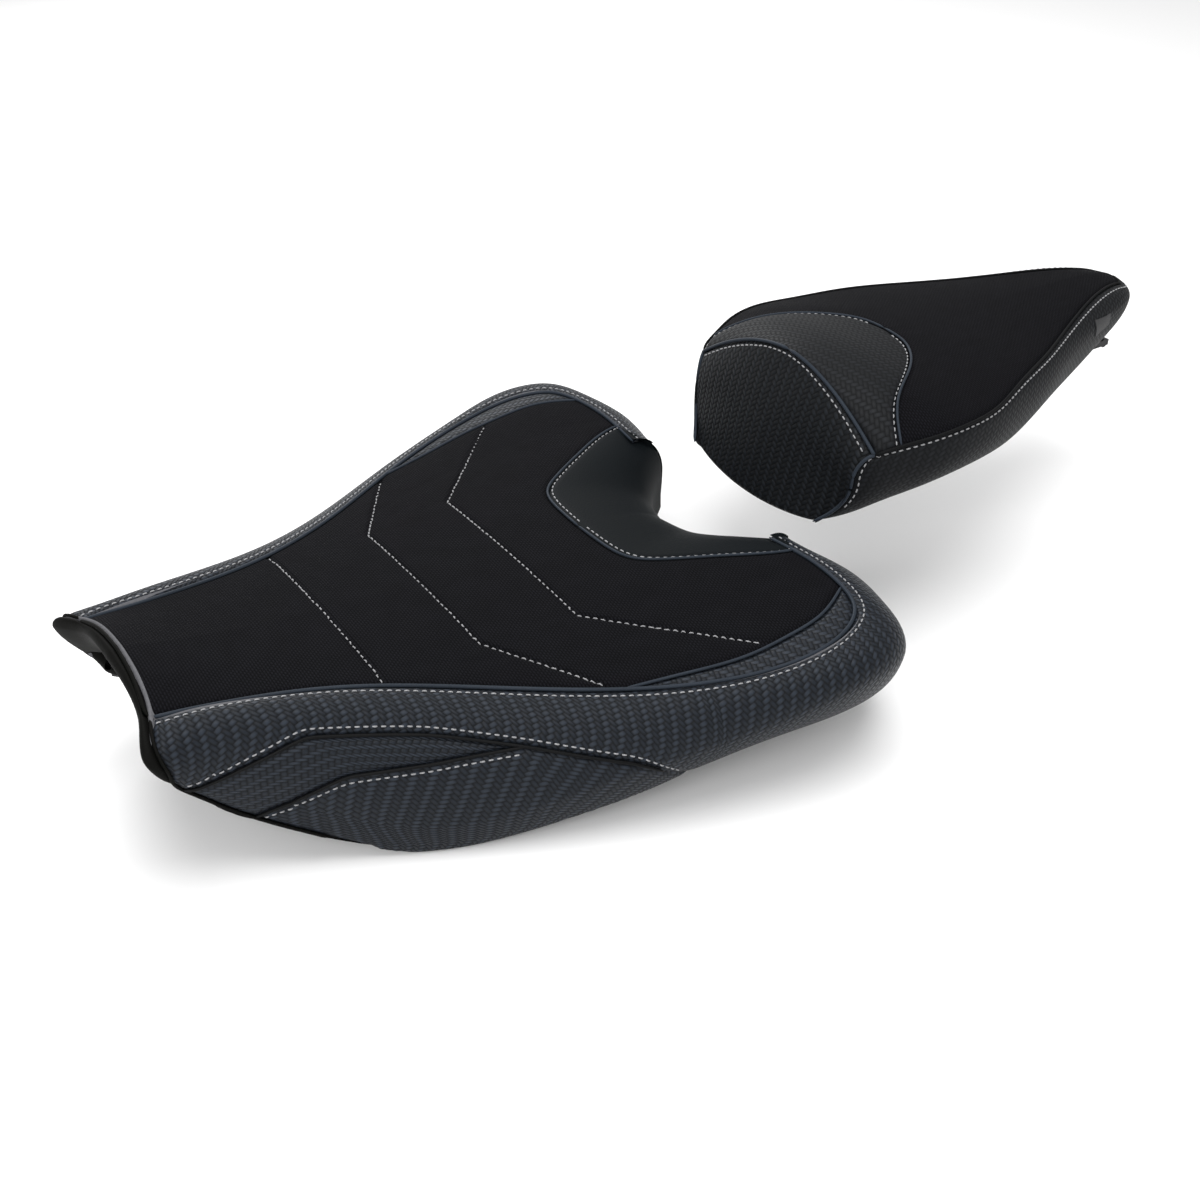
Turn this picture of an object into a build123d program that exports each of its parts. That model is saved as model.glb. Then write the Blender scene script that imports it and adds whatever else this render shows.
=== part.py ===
"""Two-piece sport motorcycle seat: a rider seat and a raised passenger seat.

Frame, in millimetres: +X points forward, +Y to the rider's left, +Z up.
The origin is midway between the two bolt holes at the back of the rider seat, on the
underside of their steel tabs. Both seats stand as they do on the motorcycle.
"""
import os

from build123d import *

os.makedirs("parts", exist_ok=True)

# ---------------------------------------------------------------- driving dimensions
COVER = 2.0                 # seat cover, vinyl with its felt backing
PAN = 3.0                   # moulded seat pan
RIB = 5.0                   # depth of the ribs under the rider pan
RIM_GAP = 0.5               # pan rim above the hem of the cover
CLEAR = 0.3                 # between the cover's inside and the pan's edge
RIM_INSET = 1.8             # pan rim inside the cover at the hem, along the sides
BOLT_SPACING = 76.0         # between the rear bolt holes, along Y
BOLT_HOLE_R = 3.3           # clears an M6 bolt
TAB_WIDTH = 20.0
TAB_THICK = 3.0
TAB_END = -14.0             # rear end of each bolt tab
TAB_WEB_X = 46.0            # where each tab steps up to the pan
PAN_FLOOR = 16.0            # top of the rider pan at its flat rear half
HINGE_X = -318.0            # passenger seat's rear hooks
HINGE_Z = 78.0
PAN_CLEAR = 1.3             # between the rider pan's edge and its cover
PAN_FRONT = 354.0           # the rider pan stops short of the nose, which curls in under itself
STRIKER_X = -62.0           # passenger seat's lock striker
STRIKER_R = 3.0

# Cross-sections of each cushion. Each row holds: X, half-width and height of the upper
# seam, height of the crown, half-width and height of the widest point, half-width and
# height of the hem, and how full the side is (0 straight, 1 a quarter ellipse).
RIDER = [
    (388, 45, 77, 88, 54, 64, 53, 50, 0.8),
    (368, 47, 76, 87, 57, 60, 56, 44, 0.8),
    (355, 49, 75, 84, 61, 50, 59.5, 31, 0.8),
    (340, 51, 74, 80, 68, 36, 67, 17, 0.8),
    (300, 57, 69, 73, 86, 14, 84, -6, 0.6),
    (255, 71, 63, 67, 109, -2, 104, -22, 0.5),
    (200, 101, 56, 63, 137, 4, 129, -15, 0.5),
    (140, 137, 54, 63, 159, 20, 149, -1, 0.7),
    (80, 162, 56, 65, 174, 32, 156, 6, 0.9),
    (35, 162, 62, 66, 178, 36, 161, 8, 1.0),
    (0, 159, 65, 63, 174, 38, 157, 9, 1.0),
    (-48, 154, 60, 56, 170, 36, 152, 10, 1.0),
]
PASSENGER = [
    (-25, 70, 98, 133, 70.5, 88, 56, 53, 0.5),
    (-54, 81, 102, 135.5, 82, 90, 67, 57, 0.8),
    (-69, 89, 107.5, 137, 90, 95, 72, 62, 1.0),
    (-86, 95.5, 111, 136, 97, 97, 78, 68, 1.0),
    (-110, 98, 113.5, 132, 99.5, 100, 83, 73, 1.0),
    (-135, 93.5, 114, 129.5, 96, 100, 83, 75, 1.0),
    (-165, 82, 117, 127.5, 87, 102, 78, 76, 1.0),
    (-204, 65.5, 118, 125.5, 73, 104, 65, 80, 1.0),
    (-240, 48, 119, 124.5, 57, 106, 52, 84, 1.0),
    (-268, 35, 120.5, 124, 46, 108, 42, 87, 1.0),
    (-300, 22, 121, 123, 35, 111, 31, 92, 1.0),
    (-322, 15, 118.5, 121, 27, 110, 24, 98, 1.0),
    (-338, 10, 114, 117, 18, 108, 15, 103, 1.0),
]

# Top of the rider pan: X, half-width and height of its floor. The pan falls from there
# to the hem, or rises to it at the hips.
RIDER_PAN = [
    (388, 38, 66), (368, 40, 63), (355, 42, 61), (340, 44, 58), (300, 48, 50), (255, 54, 40),
    (200, 66, 30), (140, 80, 22), (80, 95, PAN_FLOOR), (35, 100, PAN_FLOOR),
    (0, 100, PAN_FLOOR), (-48, 100, PAN_FLOOR),
]

# Plan outline of the rider seat, left half: nose, hip lobe and U-notch.
NOSE_POINTS = [(371, 0), (373, 25), (378, 47), (376, 56), (366, 70)]
LOBE_POINTS = [(40, 182), (6, 172), (-19, 149), (-29, 120), (-24, 90), (-9, 64)]
NOTCH_POINTS = [(-9, 64), (6, 60.5), (21, 42), (34, 22), (40, 0)]

# Upper seam of the rider seat seen from above, left half, from the nose to the notch.
LOOP_POINTS = [
    (366, 47), (340, 50), (300, 56), (255, 71), (214, 92), (179, 111), (140, 136),
    (96, 157), (71, 163), (49, 165), (31, 161), (18, 151), (8, 128), (6, 102), (7, 64),
]
CRESCENT_POINTS = [(150, 131), (120, 137), (84, 146), (58, 147), (36, 145), (10, 132)]
NOTCH_SEAM_POINTS = [(16, 86), (46, 72), (76, 54), (88, 44), (93, 22), (94, 0)]

# Side seams seen from the left, as X and Z.
BAND_LOW = [(362, 36), (337, 49), (312, 54), (289, 56), (246, 46), (202, 37),
            (156, 24), (128, 2), (118, -12)]
WEDGE_LOW = [(330, 12), (305, 26), (287, 33), (251, 33), (205, 37.6)]
STRIP_EDGE = [(364.4, 95), (364.4, 66), (361, 44), (351, 31), (338, 21), (322, 9), (312, -30)]

# Passenger seat: saddle seam from above, left half, and its front face.
SADDLE_POINTS = [(-66, 90), (-74, 75), (-91, 59), (-120, 35), (-130, 0)]
FACE_FOOT_X = -28.0         # foot of the front face on the centre plane
FACE_LEAN = (-25.0, 81.0)   # the face leans back 25 mm over 81 mm of height
FACE_SWEEP = 9.0            # how far the face falls back at each side
FACE_HALF = 81.0
FACE_WRAP = 1.0             # the front panel turns this far round the edge
SEAM_DROP = 1.5             # the top panels turn this far down the sides


# ---------------------------------------------------------------- shared geometry
def cushion_section(row, inset=0.0, drop=0.0):
    """Closed cross-section of a cushion: crowned top, two bulging sides, flat bottom."""
    x, w_seam, z_seam, z_crown, w_wide, z_wide, w_hem, z_hem, full = row
    w_seam, w_wide, w_hem = w_seam - inset, w_wide - inset, w_hem - inset
    z_seam, z_crown = z_seam - inset, z_crown - inset
    z_mid = z_crown + (z_seam - z_crown) / 4
    third = []
    for t in (1 / 3, 2 / 3):
        straight = (w_seam + (w_wide - w_seam) * t, z_seam + (z_wide - z_seam) * t)
        round_y = w_seam + (w_wide - w_seam) * (1.5 * t - 0.5 * t ** 3)
        round_z = z_wide + (z_seam - z_wide) * (1 - t ** 2) ** 0.5
        third.append((straight[0] + full * (round_y - straight[0]),
                      straight[1] + full * (round_z - straight[1])))
    left = [(w_seam, z_seam), *third, (w_wide, z_wide), (w_hem, z_hem)]
    right = [(-y, z) for y, z in left]
    with BuildSketch(Plane.YZ.offset(x)) as section:
        with BuildLine():
            Spline(right[0], (-w_seam / 2, z_mid), (0, z_crown), (w_seam / 2, z_mid), left[0])
            Spline(*left)
            if drop:
                Polyline(left[-1], (w_hem, z_hem - drop), (-w_hem, z_hem - drop), right[-1])
            else:
                Line(left[-1], right[-1])
            Spline(*reversed(right))
        make_face()
    return section.sketch


def pan_section(row, floor, thickness, bottom=None):
    """Cross-section of the rider pan, or of everything below it when bottom is given."""
    x, w_hem, z_hem = row[0], row[6], row[7]
    w_floor, z_floor = floor[1], floor[2]
    rim = (w_hem - COVER - RIM_INSET, z_hem + RIM_GAP + PAN)
    top = [(-rim[0], rim[1]), (-w_floor, z_floor), (w_floor, z_floor), rim]
    if bottom is None:
        under = [(y, z - thickness) for y, z in reversed(top)]
    else:
        under = [(300, rim[1]), (300, bottom), (-300, bottom), (-300, rim[1])]
    with BuildSketch(Plane.YZ.offset(x)) as section:
        with BuildLine():
            Polyline(*top, *under, close=True)
        make_face()
    return section.sketch


def flat_section(row, inset, rise, thickness):
    """Cross-section of the passenger pan."""
    x, w_hem, z_hem = row[0], row[6], row[7]
    half = w_hem - inset
    low = z_hem + rise
    with BuildSketch(Plane.YZ.offset(x)) as section:
        with BuildLine():
            Polyline((-half, low), (half, low), (half, low + thickness),
                     (-half, low + thickness), close=True)
        make_face()
    return section.sketch


def mirrored(points):
    """The right half of a plan outline, run back towards its first point."""
    return [(x, -y) for x, y in reversed(points)]


def shrunk(points, by):
    """A chain of plan points moved to its left, into the seat, by a distance."""
    moved = []
    for i, (x, y) in enumerate(points):
        before, after = points[max(i - 1, 0)], points[min(i + 1, len(points) - 1)]
        along = Vector(after[0] - before[0], after[1] - before[1]).normalized()
        moved.append((x - along.Y * by, y + along.X * by if y else 0))
    return moved


def rider_outline(inset=0.0):
    """Plan area of the rider seat; its sides are left wide for the sections to decide."""
    nose = shrunk(NOSE_POINTS, inset)
    rear = shrunk(LOBE_POINTS + NOTCH_POINTS[1:], inset)
    lobe = rear[:len(LOBE_POINTS)]
    notch = rear[len(LOBE_POINTS) - 1:]
    with BuildSketch() as area:
        with BuildLine():
            Spline(*nose)
            Polyline(nose[-1], (330, 230), (60, 230), lobe[0])
            Spline(*lobe)
            Spline(*notch, *mirrored(notch)[1:])
            Spline(*mirrored(lobe))
            Polyline(mirrored(lobe)[-1], (60, -230), (330, -230), mirrored(nose)[0])
            Spline(*mirrored(nose))
        make_face()
    return area.sketch


def side_area(points):
    """A closed area on the XZ plane."""
    with BuildSketch(Plane.XZ.offset(-400)) as area:
        with BuildLine():
            Polyline(*points, close=True)
        make_face()
    return area.sketch


def half_space(left):
    """A big block on one side of the centre plane."""
    with BuildPart(Plane.XY.offset(0)) as block:
        with Locations((0, 300 if left else -300, 60)):
            Box(1200, 600, 600)
    return block.part


# ---------------------------------------------------------------- rider seat bodies
with BuildPart() as rider_outer:
    loft(sections=[cushion_section(row) for row in RIDER])
    extrude(rider_outline(), amount=500, both=True, mode=Mode.INTERSECT)

with BuildPart() as rider_inner:
    loft(sections=[cushion_section(row, COVER, 8) for row in RIDER])
    extrude(rider_outline(COVER), amount=500, both=True, mode=Mode.INTERSECT)

with BuildPart() as rider_under:
    loft(sections=[pan_section(r, f, PAN, bottom=-120) for r, f in zip(RIDER, RIDER_PAN)], ruled=True)

with BuildPart() as rider_pan_plain:
    loft(sections=[pan_section(r, f, PAN) for r, f in zip(RIDER, RIDER_PAN)], ruled=True)
    extrude(rider_outline(COVER + PAN_CLEAR), amount=500, both=True, mode=Mode.INTERSECT)
    split(bisect_by=Plane.YZ.offset(PAN_FRONT), keep=Keep.BOTTOM)

with BuildPart() as rider_foam_pad:
    add(rider_inner.part)
    add(rider_under.part, mode=Mode.SUBTRACT)

with BuildPart() as rider_cover:
    add(rider_outer.part)
    add(rider_inner.part, mode=Mode.SUBTRACT)

# ---------------------------------------------------------------- rider seat cover panels
NOTCH_CUT = (-60, 64)       # the loop runs straight back past the notch at this half-width
ABOVE_HEMS = 45.0           # between the top seams and the hems of the hips
BIG = 300.0                 # taller than the seat, for tools that a surface trims

with BuildSketch() as loop_area:
    with BuildLine():
        Line((LOOP_POINTS[0][0], -LOOP_POINTS[0][1]), LOOP_POINTS[0])
        Spline(*LOOP_POINTS)
        Polyline(LOOP_POINTS[-1], NOTCH_CUT, (NOTCH_CUT[0], -NOTCH_CUT[1]), mirrored(LOOP_POINTS)[0])
        Spline(*mirrored(LOOP_POINTS))
    make_face()

with BuildSketch() as notch_area:
    with BuildLine():
        Spline(*NOTCH_SEAM_POINTS, *mirrored(NOTCH_SEAM_POINTS)[1:])
        Polyline(mirrored(NOTCH_SEAM_POINTS)[-1], (-60, -86), (-60, 86), NOTCH_SEAM_POINTS[0])
    make_face()

with BuildSketch() as crescent_area:
    with BuildLine():
        Spline(*CRESCENT_POINTS)
        Polyline(CRESCENT_POINTS[-1], (-20, 133), (-20, 220), (150, 220), CRESCENT_POINTS[0])
    make_face()

with BuildPart() as loop_prism:
    extrude(loop_area.sketch.moved(Location((0, 0, ABOVE_HEMS))), amount=BIG)
    with Locations((NOTCH_CUT[0], 0, ABOVE_HEMS)):
        Box(105, 2 * NOTCH_CUT[1], BIG, align=(Align.MIN, Align.CENTER, Align.MAX))

with BuildPart() as notch_prism:
    extrude(notch_area.sketch, amount=300, both=True)

with BuildPart() as crescent_prism:
    extrude(crescent_area.sketch, amount=300, both=True)
    mirror(about=Plane.XZ)

with BuildPart() as band_prism:
    extrude(side_area([*BAND_LOW, (-200, -12), (-200, 200), (430, 200), (430, 36)]), amount=800)

with BuildPart() as wedge_prism:
    extrude(side_area([*WEDGE_LOW, (205, 120), (430, 120), (430, 12)]), amount=800)

with BuildPart() as strip_prism:
    extrude(side_area([*STRIP_EDGE, (450, -30), (450, 95)]), amount=800)

with BuildPart() as top_cover:
    add(rider_cover.part)
    add(loop_prism.part, mode=Mode.INTERSECT)

with BuildPart() as wall_cover:
    add(rider_cover.part)
    add(loop_prism.part, mode=Mode.SUBTRACT)

with BuildPart() as rider_notch_panel:
    add(top_cover.part)
    add(notch_prism.part, mode=Mode.INTERSECT)

with BuildPart() as rider_hip_crescents:
    add(top_cover.part)
    add(notch_prism.part, mode=Mode.SUBTRACT)
    add(crescent_prism.part, mode=Mode.INTERSECT)

with BuildPart() as rider_top_panel:
    add(top_cover.part)
    add(notch_prism.part, mode=Mode.SUBTRACT)
    add(crescent_prism.part, mode=Mode.SUBTRACT)

with BuildPart() as rider_front_strip:
    add(wall_cover.part)
    add(strip_prism.part, mode=Mode.INTERSECT)

with BuildPart() as wall_rest:
    add(wall_cover.part)
    add(strip_prism.part, mode=Mode.SUBTRACT)

with BuildPart() as rider_bands:
    add(wall_rest.part)
    add(band_prism.part, mode=Mode.INTERSECT)

with BuildPart() as wall_low:
    add(wall_rest.part)
    add(band_prism.part, mode=Mode.SUBTRACT)

with BuildPart() as rider_wedges:
    add(wall_low.part)
    add(wedge_prism.part, mode=Mode.INTERSECT)

with BuildPart() as rider_skirts:
    add(wall_low.part)
    add(wedge_prism.part, mode=Mode.SUBTRACT)

# ---------------------------------------------------------------- rider seat hardware
TONGUE = [(284, 60), (318, 60), (320, 42), (350, 44), (350, 41.5), (317, 39.5), (314, 46.5), (284, 40.2)]
TONGUE_WIDTH = 40.0
TONGUE_RIVETS = [(294, -10), (294, 10)]
TAB = [(TAB_END, 0), (TAB_WEB_X, 0), (TAB_WEB_X, 9.8), (82, 9.8), (82, 30),
       (TAB_WEB_X - TAB_THICK, 30), (TAB_WEB_X - TAB_THICK, TAB_THICK), (TAB_END, TAB_THICK)]
TAB_RIVETS = [(x, side * BOLT_SPACING / 2) for side in (1, -1) for x in (57, 71)]
RIVET_HEAD_R, RIVET_R, RIVET_HEAD = 4.0, 2.0, 1.4
RIDER_BUMPERS = [(230, 30), (230, -30), (62, 78), (62, -78)]
BUMPER_R, BUMPER_DROP = 9.0, 11.0
STAPLE_LENGTH, STAPLE_WIDE, STAPLE_THICK = 10.0, 1.2, 0.8
RIDER_STAPLES = range(20, 350, 26)
PASSENGER_STAPLES = range(-300, -60, 24)


def row_value(rows, x, column):
    """A section value at any X, straight between the rows."""
    for ahead, behind in zip(rows, rows[1:]):
        if behind[0] <= x <= ahead[0]:
            part = (x - behind[0]) / (ahead[0] - behind[0])
            return behind[column] + (ahead[column] - behind[column]) * part
    raise ValueError("X is outside the sections")


def profile(points, plane):
    """A flat area from a closed outline."""
    with BuildSketch(plane) as area:
        with BuildLine():
            Polyline(*points, close=True)
        make_face()
    return area.sketch


def layer(under, top, bottom):
    """The layer between two depths below the top of a pan."""
    with BuildPart() as slab:
        add(under.moved(Location((0, 0, -top))))
        add(under.moved(Location((0, 0, -bottom))), mode=Mode.SUBTRACT)
    return slab.part


with BuildPart() as rider_ribs:
    with Locations((185, 18, 0), (185, -18, 0)):
        Box(180, 2.5, BIG)
    with Locations((115, 0, 0), (165, 0, 0), (215, 0, 0), (265, 0, 0)):
        Box(2.5, 96, BIG)
    add(layer(rider_under.part, PAN / 2, PAN + RIB), mode=Mode.INTERSECT)

with BuildPart() as rider_pan_holes:
    with Locations(*[(x, y, 0) for x, y in TONGUE_RIVETS + TAB_RIVETS]):
        Cylinder(RIVET_R, BIG)

with BuildPart() as rider_base_pan:
    add(rider_pan_plain.part)
    add(rider_ribs.part)
    add(rider_pan_holes.part, mode=Mode.SUBTRACT)

with BuildPart() as rider_tongue:
    extrude(profile(TONGUE, Plane.XZ.offset(-TONGUE_WIDTH / 2)), amount=TONGUE_WIDTH)
    add(rider_under.part, mode=Mode.INTERSECT)
    add(rider_pan_plain.part, mode=Mode.SUBTRACT)
    add(rider_pan_holes.part, mode=Mode.SUBTRACT)

with BuildPart() as rider_tabs:
    for side in (1, -1):
        centre = side * BOLT_SPACING / 2
        extrude(profile(TAB, Plane.XZ.offset(-centre - TAB_WIDTH / 2)), amount=TAB_WIDTH)
    add(rider_under.part, mode=Mode.INTERSECT)
    add(rider_pan_plain.part, mode=Mode.SUBTRACT)
    add(rider_pan_holes.part, mode=Mode.SUBTRACT)
    with Locations((0, BOLT_SPACING / 2, 0), (0, -BOLT_SPACING / 2, 0)):
        Cylinder(BOLT_HOLE_R, 20, mode=Mode.SUBTRACT)
    fillet(rider_tabs.edges().filter_by(Axis.Z).group_by(Axis.X)[0], radius=TAB_WIDTH / 2 - 1)

with BuildPart() as rider_rivets:
    with Locations(*[(x, y, 9.8 - RIVET_HEAD) for x, y in TAB_RIVETS]):
        Cylinder(RIVET_HEAD_R, RIVET_HEAD, align=(Align.CENTER, Align.CENTER, Align.MIN))
        Cylinder(RIVET_R, PAN_FLOOR - 9.8 + RIVET_HEAD, align=(Align.CENTER, Align.CENTER, Align.MIN))
    with Locations(*[(x, y, 39.6) for x, y in TONGUE_RIVETS]):
        Cylinder(RIVET_HEAD_R, RIVET_HEAD + 0.6, align=(Align.CENTER, Align.CENTER, Align.MIN))
        Cylinder(RIVET_R, 8, align=(Align.CENTER, Align.CENTER, Align.MIN))
    add(rider_tongue.part, mode=Mode.SUBTRACT)

with BuildPart() as rider_bumpers:
    for x, y in RIDER_BUMPERS:
        under = row_value(RIDER_PAN, x, 2) - PAN
        with Locations((x, y, under - BUMPER_DROP)):
            Cylinder(BUMPER_R, BUMPER_DROP * 2, align=(Align.CENTER, Align.CENTER, Align.MIN))
    add(rider_under.part, mode=Mode.INTERSECT)
    add(rider_base_pan.part, mode=Mode.SUBTRACT)
    fillet(rider_bumpers.edges().filter_by(GeomType.CIRCLE).group_by(Axis.Z)[0], radius=1)

with BuildPart() as rider_staples:
    for x in RIDER_STAPLES:
        reach = row_value(RIDER, x, 6) - 13
        with Locations((x, reach, 0), (x, -reach, 0)):
            Box(STAPLE_LENGTH, STAPLE_WIDE, BIG)
    add(layer(rider_under.part, PAN, PAN + STAPLE_THICK), mode=Mode.INTERSECT)
    add(rider_base_pan.part, mode=Mode.SUBTRACT)

# ---------------------------------------------------------------- passenger seat bodies
PASSENGER_TAIL = -338.0


def face_sweep(inset=0.0, tail=0.0):
    """Everything behind the leaning front face, as a plan area swept along the lean."""
    foot = FACE_FOOT_X - inset - 54 * FACE_LEAN[0] / FACE_LEAN[1]
    side_x = foot - FACE_SWEEP
    with BuildSketch() as area:
        with BuildLine():
            ThreePointArc((side_x, FACE_HALF), (foot, 0), (side_x, -FACE_HALF))
            Polyline((side_x, -FACE_HALF), (side_x - 7, -130), (-500, -130), (-500, 130),
                     (side_x - 7, 130), (side_x, FACE_HALF))
        make_face()
    with BuildPart() as sweep:
        extrude(area.sketch, amount=260, dir=(FACE_LEAN[0], 0, FACE_LEAN[1]))
        with Locations((PASSENGER_TAIL + tail, 0, -50)):
            Box(600, 400, 400, align=(Align.MIN, Align.CENTER, Align.MIN), mode=Mode.INTERSECT)
    return sweep.part


with BuildPart() as passenger_outer:
    loft(sections=[cushion_section(row) for row in PASSENGER])
    add(face_sweep(), mode=Mode.INTERSECT)

with BuildPart() as passenger_inner:
    loft(sections=[cushion_section(row, COVER, 8) for row in PASSENGER])
    add(face_sweep(COVER, COVER), mode=Mode.INTERSECT)

with BuildPart() as passenger_under:
    loft(sections=[flat_section(row, -100, -200, 200 + RIM_GAP + PAN) for row in PASSENGER], ruled=True)

with BuildPart() as passenger_pan_plain:
    loft(sections=[flat_section(row, COVER + CLEAR, RIM_GAP, PAN) for row in PASSENGER], ruled=True)
    add(face_sweep(COVER + CLEAR, COVER + CLEAR), mode=Mode.INTERSECT)

with BuildPart() as passenger_foam_pad:
    add(passenger_inner.part)
    add(passenger_under.part, mode=Mode.SUBTRACT)

with BuildPart() as passenger_cover:
    add(passenger_outer.part)
    add(passenger_inner.part, mode=Mode.SUBTRACT)

# ---------------------------------------------------------------- passenger seat cover panels
with BuildSketch() as saddle_area:
    with BuildLine():
        Spline(*SADDLE_POINTS, *mirrored(SADDLE_POINTS)[1:])
        Polyline(mirrored(SADDLE_POINTS)[-1], (-60, -130), (40, -130), (40, 130), (-60, 130),
                 SADDLE_POINTS[0])
    make_face()

PASSENGER_SEAM = [(row[0], row[2] - SEAM_DROP) for row in PASSENGER]

with BuildPart() as passenger_above_seam:
    extrude(side_area([(60, 98), *PASSENGER_SEAM, (-400, 104), (-400, BIG), (60, BIG)]), amount=800)

with BuildPart() as saddle_prism:
    extrude(saddle_area.sketch, amount=BIG)

with BuildPart() as passenger_front_panel:
    add(passenger_cover.part)
    add(face_sweep(COVER + FACE_WRAP), mode=Mode.SUBTRACT)

with BuildPart() as passenger_skin:
    add(passenger_cover.part)
    add(face_sweep(COVER + FACE_WRAP), mode=Mode.INTERSECT)

with BuildPart() as passenger_sides:
    add(passenger_skin.part)
    add(passenger_above_seam.part, mode=Mode.SUBTRACT)

with BuildPart() as passenger_top:
    add(passenger_skin.part)
    add(passenger_above_seam.part, mode=Mode.INTERSECT)

with BuildPart() as passenger_saddle_band:
    add(passenger_top.part)
    add(saddle_prism.part, mode=Mode.INTERSECT)

with BuildPart() as passenger_top_panel:
    add(passenger_top.part)
    add(saddle_prism.part, mode=Mode.SUBTRACT)

# ---------------------------------------------------------------- passenger seat hardware
HOOK = [(-262, 130), (-262, 83.5), (-288, 87.5), (-288, HINGE_Z - 2), (HINGE_X - 4, HINGE_Z - 2),
        (HINGE_X - 4, HINGE_Z + 2), (-292, HINGE_Z + 2), (-292, 88), (-302, 89.6), (-302, 130)]
HOOK_Y, HOOK_WIDTH = 14.0, 10.0
HOOK_ROLL_R = 3.0           # the hooks' rolled tips, which the seat tips up about
HOOK_SCREWS = [(-274, HOOK_Y), (-274, -HOOK_Y)]
STRIKER_HALF, STRIKER_LOW, STRIKER_BEND = 14.0, 40.0, 7.0
PLATE_THICK = 2.5
PLATE_SIZE = (38.0, 50.0)
PLATE_SCREWS = [(STRIKER_X + dx, dy) for dx in (-13, 13) for dy in (-20, 20)]
SCREW_R, SCREW_HEAD_R, SCREW_HEAD = 2.0, 4.0, 2.0
PASSENGER_BUMPERS = [(-120, 50), (-120, -50), (-225, 30), (-225, -30)]
LABEL_AT = (-284, 109)
LABEL_SIZE = (24.0, 8.0)
LABEL_THICK = 0.7
LABEL_TILT = 8.0

with BuildPart() as passenger_screw_holes:
    with Locations(*[(x, y, 0) for x, y in PLATE_SCREWS + HOOK_SCREWS]):
        Cylinder(SCREW_R, 2 * BIG)

with BuildPart() as passenger_base_pan:
    add(passenger_pan_plain.part)
    add(passenger_screw_holes.part, mode=Mode.SUBTRACT)

with BuildPart() as passenger_striker:
    with BuildLine() as wire:
        FilletPolyline((STRIKER_X, -STRIKER_HALF, 70), (STRIKER_X, -STRIKER_HALF, STRIKER_LOW),
                       (STRIKER_X, STRIKER_HALF, STRIKER_LOW), (STRIKER_X, STRIKER_HALF, 70),
                       radius=STRIKER_BEND)
    with BuildSketch(Plane(origin=wire.line @ 0, z_dir=wire.line % 0)):
        Circle(STRIKER_R)
    sweep()
    add(passenger_under.part.moved(Location((0, 0, -PAN))), mode=Mode.INTERSECT)

with BuildPart() as passenger_striker_plate:
    with Locations((STRIKER_X, 0, 0)):
        Box(PLATE_SIZE[0], PLATE_SIZE[1], 2 * BIG)
    add(layer(passenger_under.part, PAN, PAN + PLATE_THICK), mode=Mode.INTERSECT)
    add(passenger_striker.part, mode=Mode.SUBTRACT)
    add(passenger_screw_holes.part, mode=Mode.SUBTRACT)

with BuildPart() as passenger_hooks:
    for side in (1, -1):
        extrude(profile(HOOK, Plane.XZ.offset(-side * HOOK_Y - HOOK_WIDTH / 2)), amount=HOOK_WIDTH)
        with Locations((HINGE_X, side * HOOK_Y, HINGE_Z)):
            Cylinder(HOOK_ROLL_R, HOOK_WIDTH, rotation=(90, 0, 0))
    add(passenger_under.part.moved(Location((0, 0, -PAN))), mode=Mode.INTERSECT)
    add(passenger_screw_holes.part, mode=Mode.SUBTRACT)


def screws(places, grip):
    """Pan-head screws whose heads bear on something of the given thickness."""
    with BuildPart() as heads:
        with Locations(*[(x, y, 0) for x, y in places]):
            Cylinder(SCREW_HEAD_R, 2 * BIG)
        add(layer(passenger_under.part, PAN + grip, PAN + grip + SCREW_HEAD), mode=Mode.INTERSECT)
    with BuildPart() as whole:
        with Locations(*[(x, y, 0) for x, y in places]):
            Cylinder(SCREW_R, 2 * BIG)
        add(layer(passenger_under.part, 0, PAN + grip + 0.1), mode=Mode.INTERSECT)
        add(heads.part)
    return whole.part


with BuildPart() as passenger_plate_screws:
    add(screws(PLATE_SCREWS, PLATE_THICK))

with BuildPart() as passenger_hook_screws:
    add(screws(HOOK_SCREWS, 5.0))
    add(passenger_hooks.part, mode=Mode.SUBTRACT)

with BuildPart() as passenger_bumpers:
    with Locations(*[(x, y, 0) for x, y in PASSENGER_BUMPERS]):
        Cylinder(BUMPER_R - 1, 2 * BIG)
    add(layer(passenger_under.part, PAN, PAN + BUMPER_DROP), mode=Mode.INTERSECT)

with BuildPart() as passenger_staples:
    for x in PASSENGER_STAPLES:
        reach = row_value(PASSENGER, x, 6) - 9
        with Locations((x, reach, 0), (x, -reach, 0)):
            Box(STAPLE_LENGTH, STAPLE_WIDE, 2 * BIG)
    add(layer(passenger_under.part, PAN, PAN + STAPLE_THICK), mode=Mode.INTERSECT)

with BuildPart() as passenger_blank_label:
    with Locations(Location((LABEL_AT[0], 60, LABEL_AT[1]), (0, LABEL_TILT, 0))):
        Box(LABEL_SIZE[0], 120, LABEL_SIZE[1])
    add(passenger_outer.part.moved(Location((0, LABEL_THICK, 0))), mode=Mode.INTERSECT)
    add(passenger_outer.part, mode=Mode.SUBTRACT)

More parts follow.
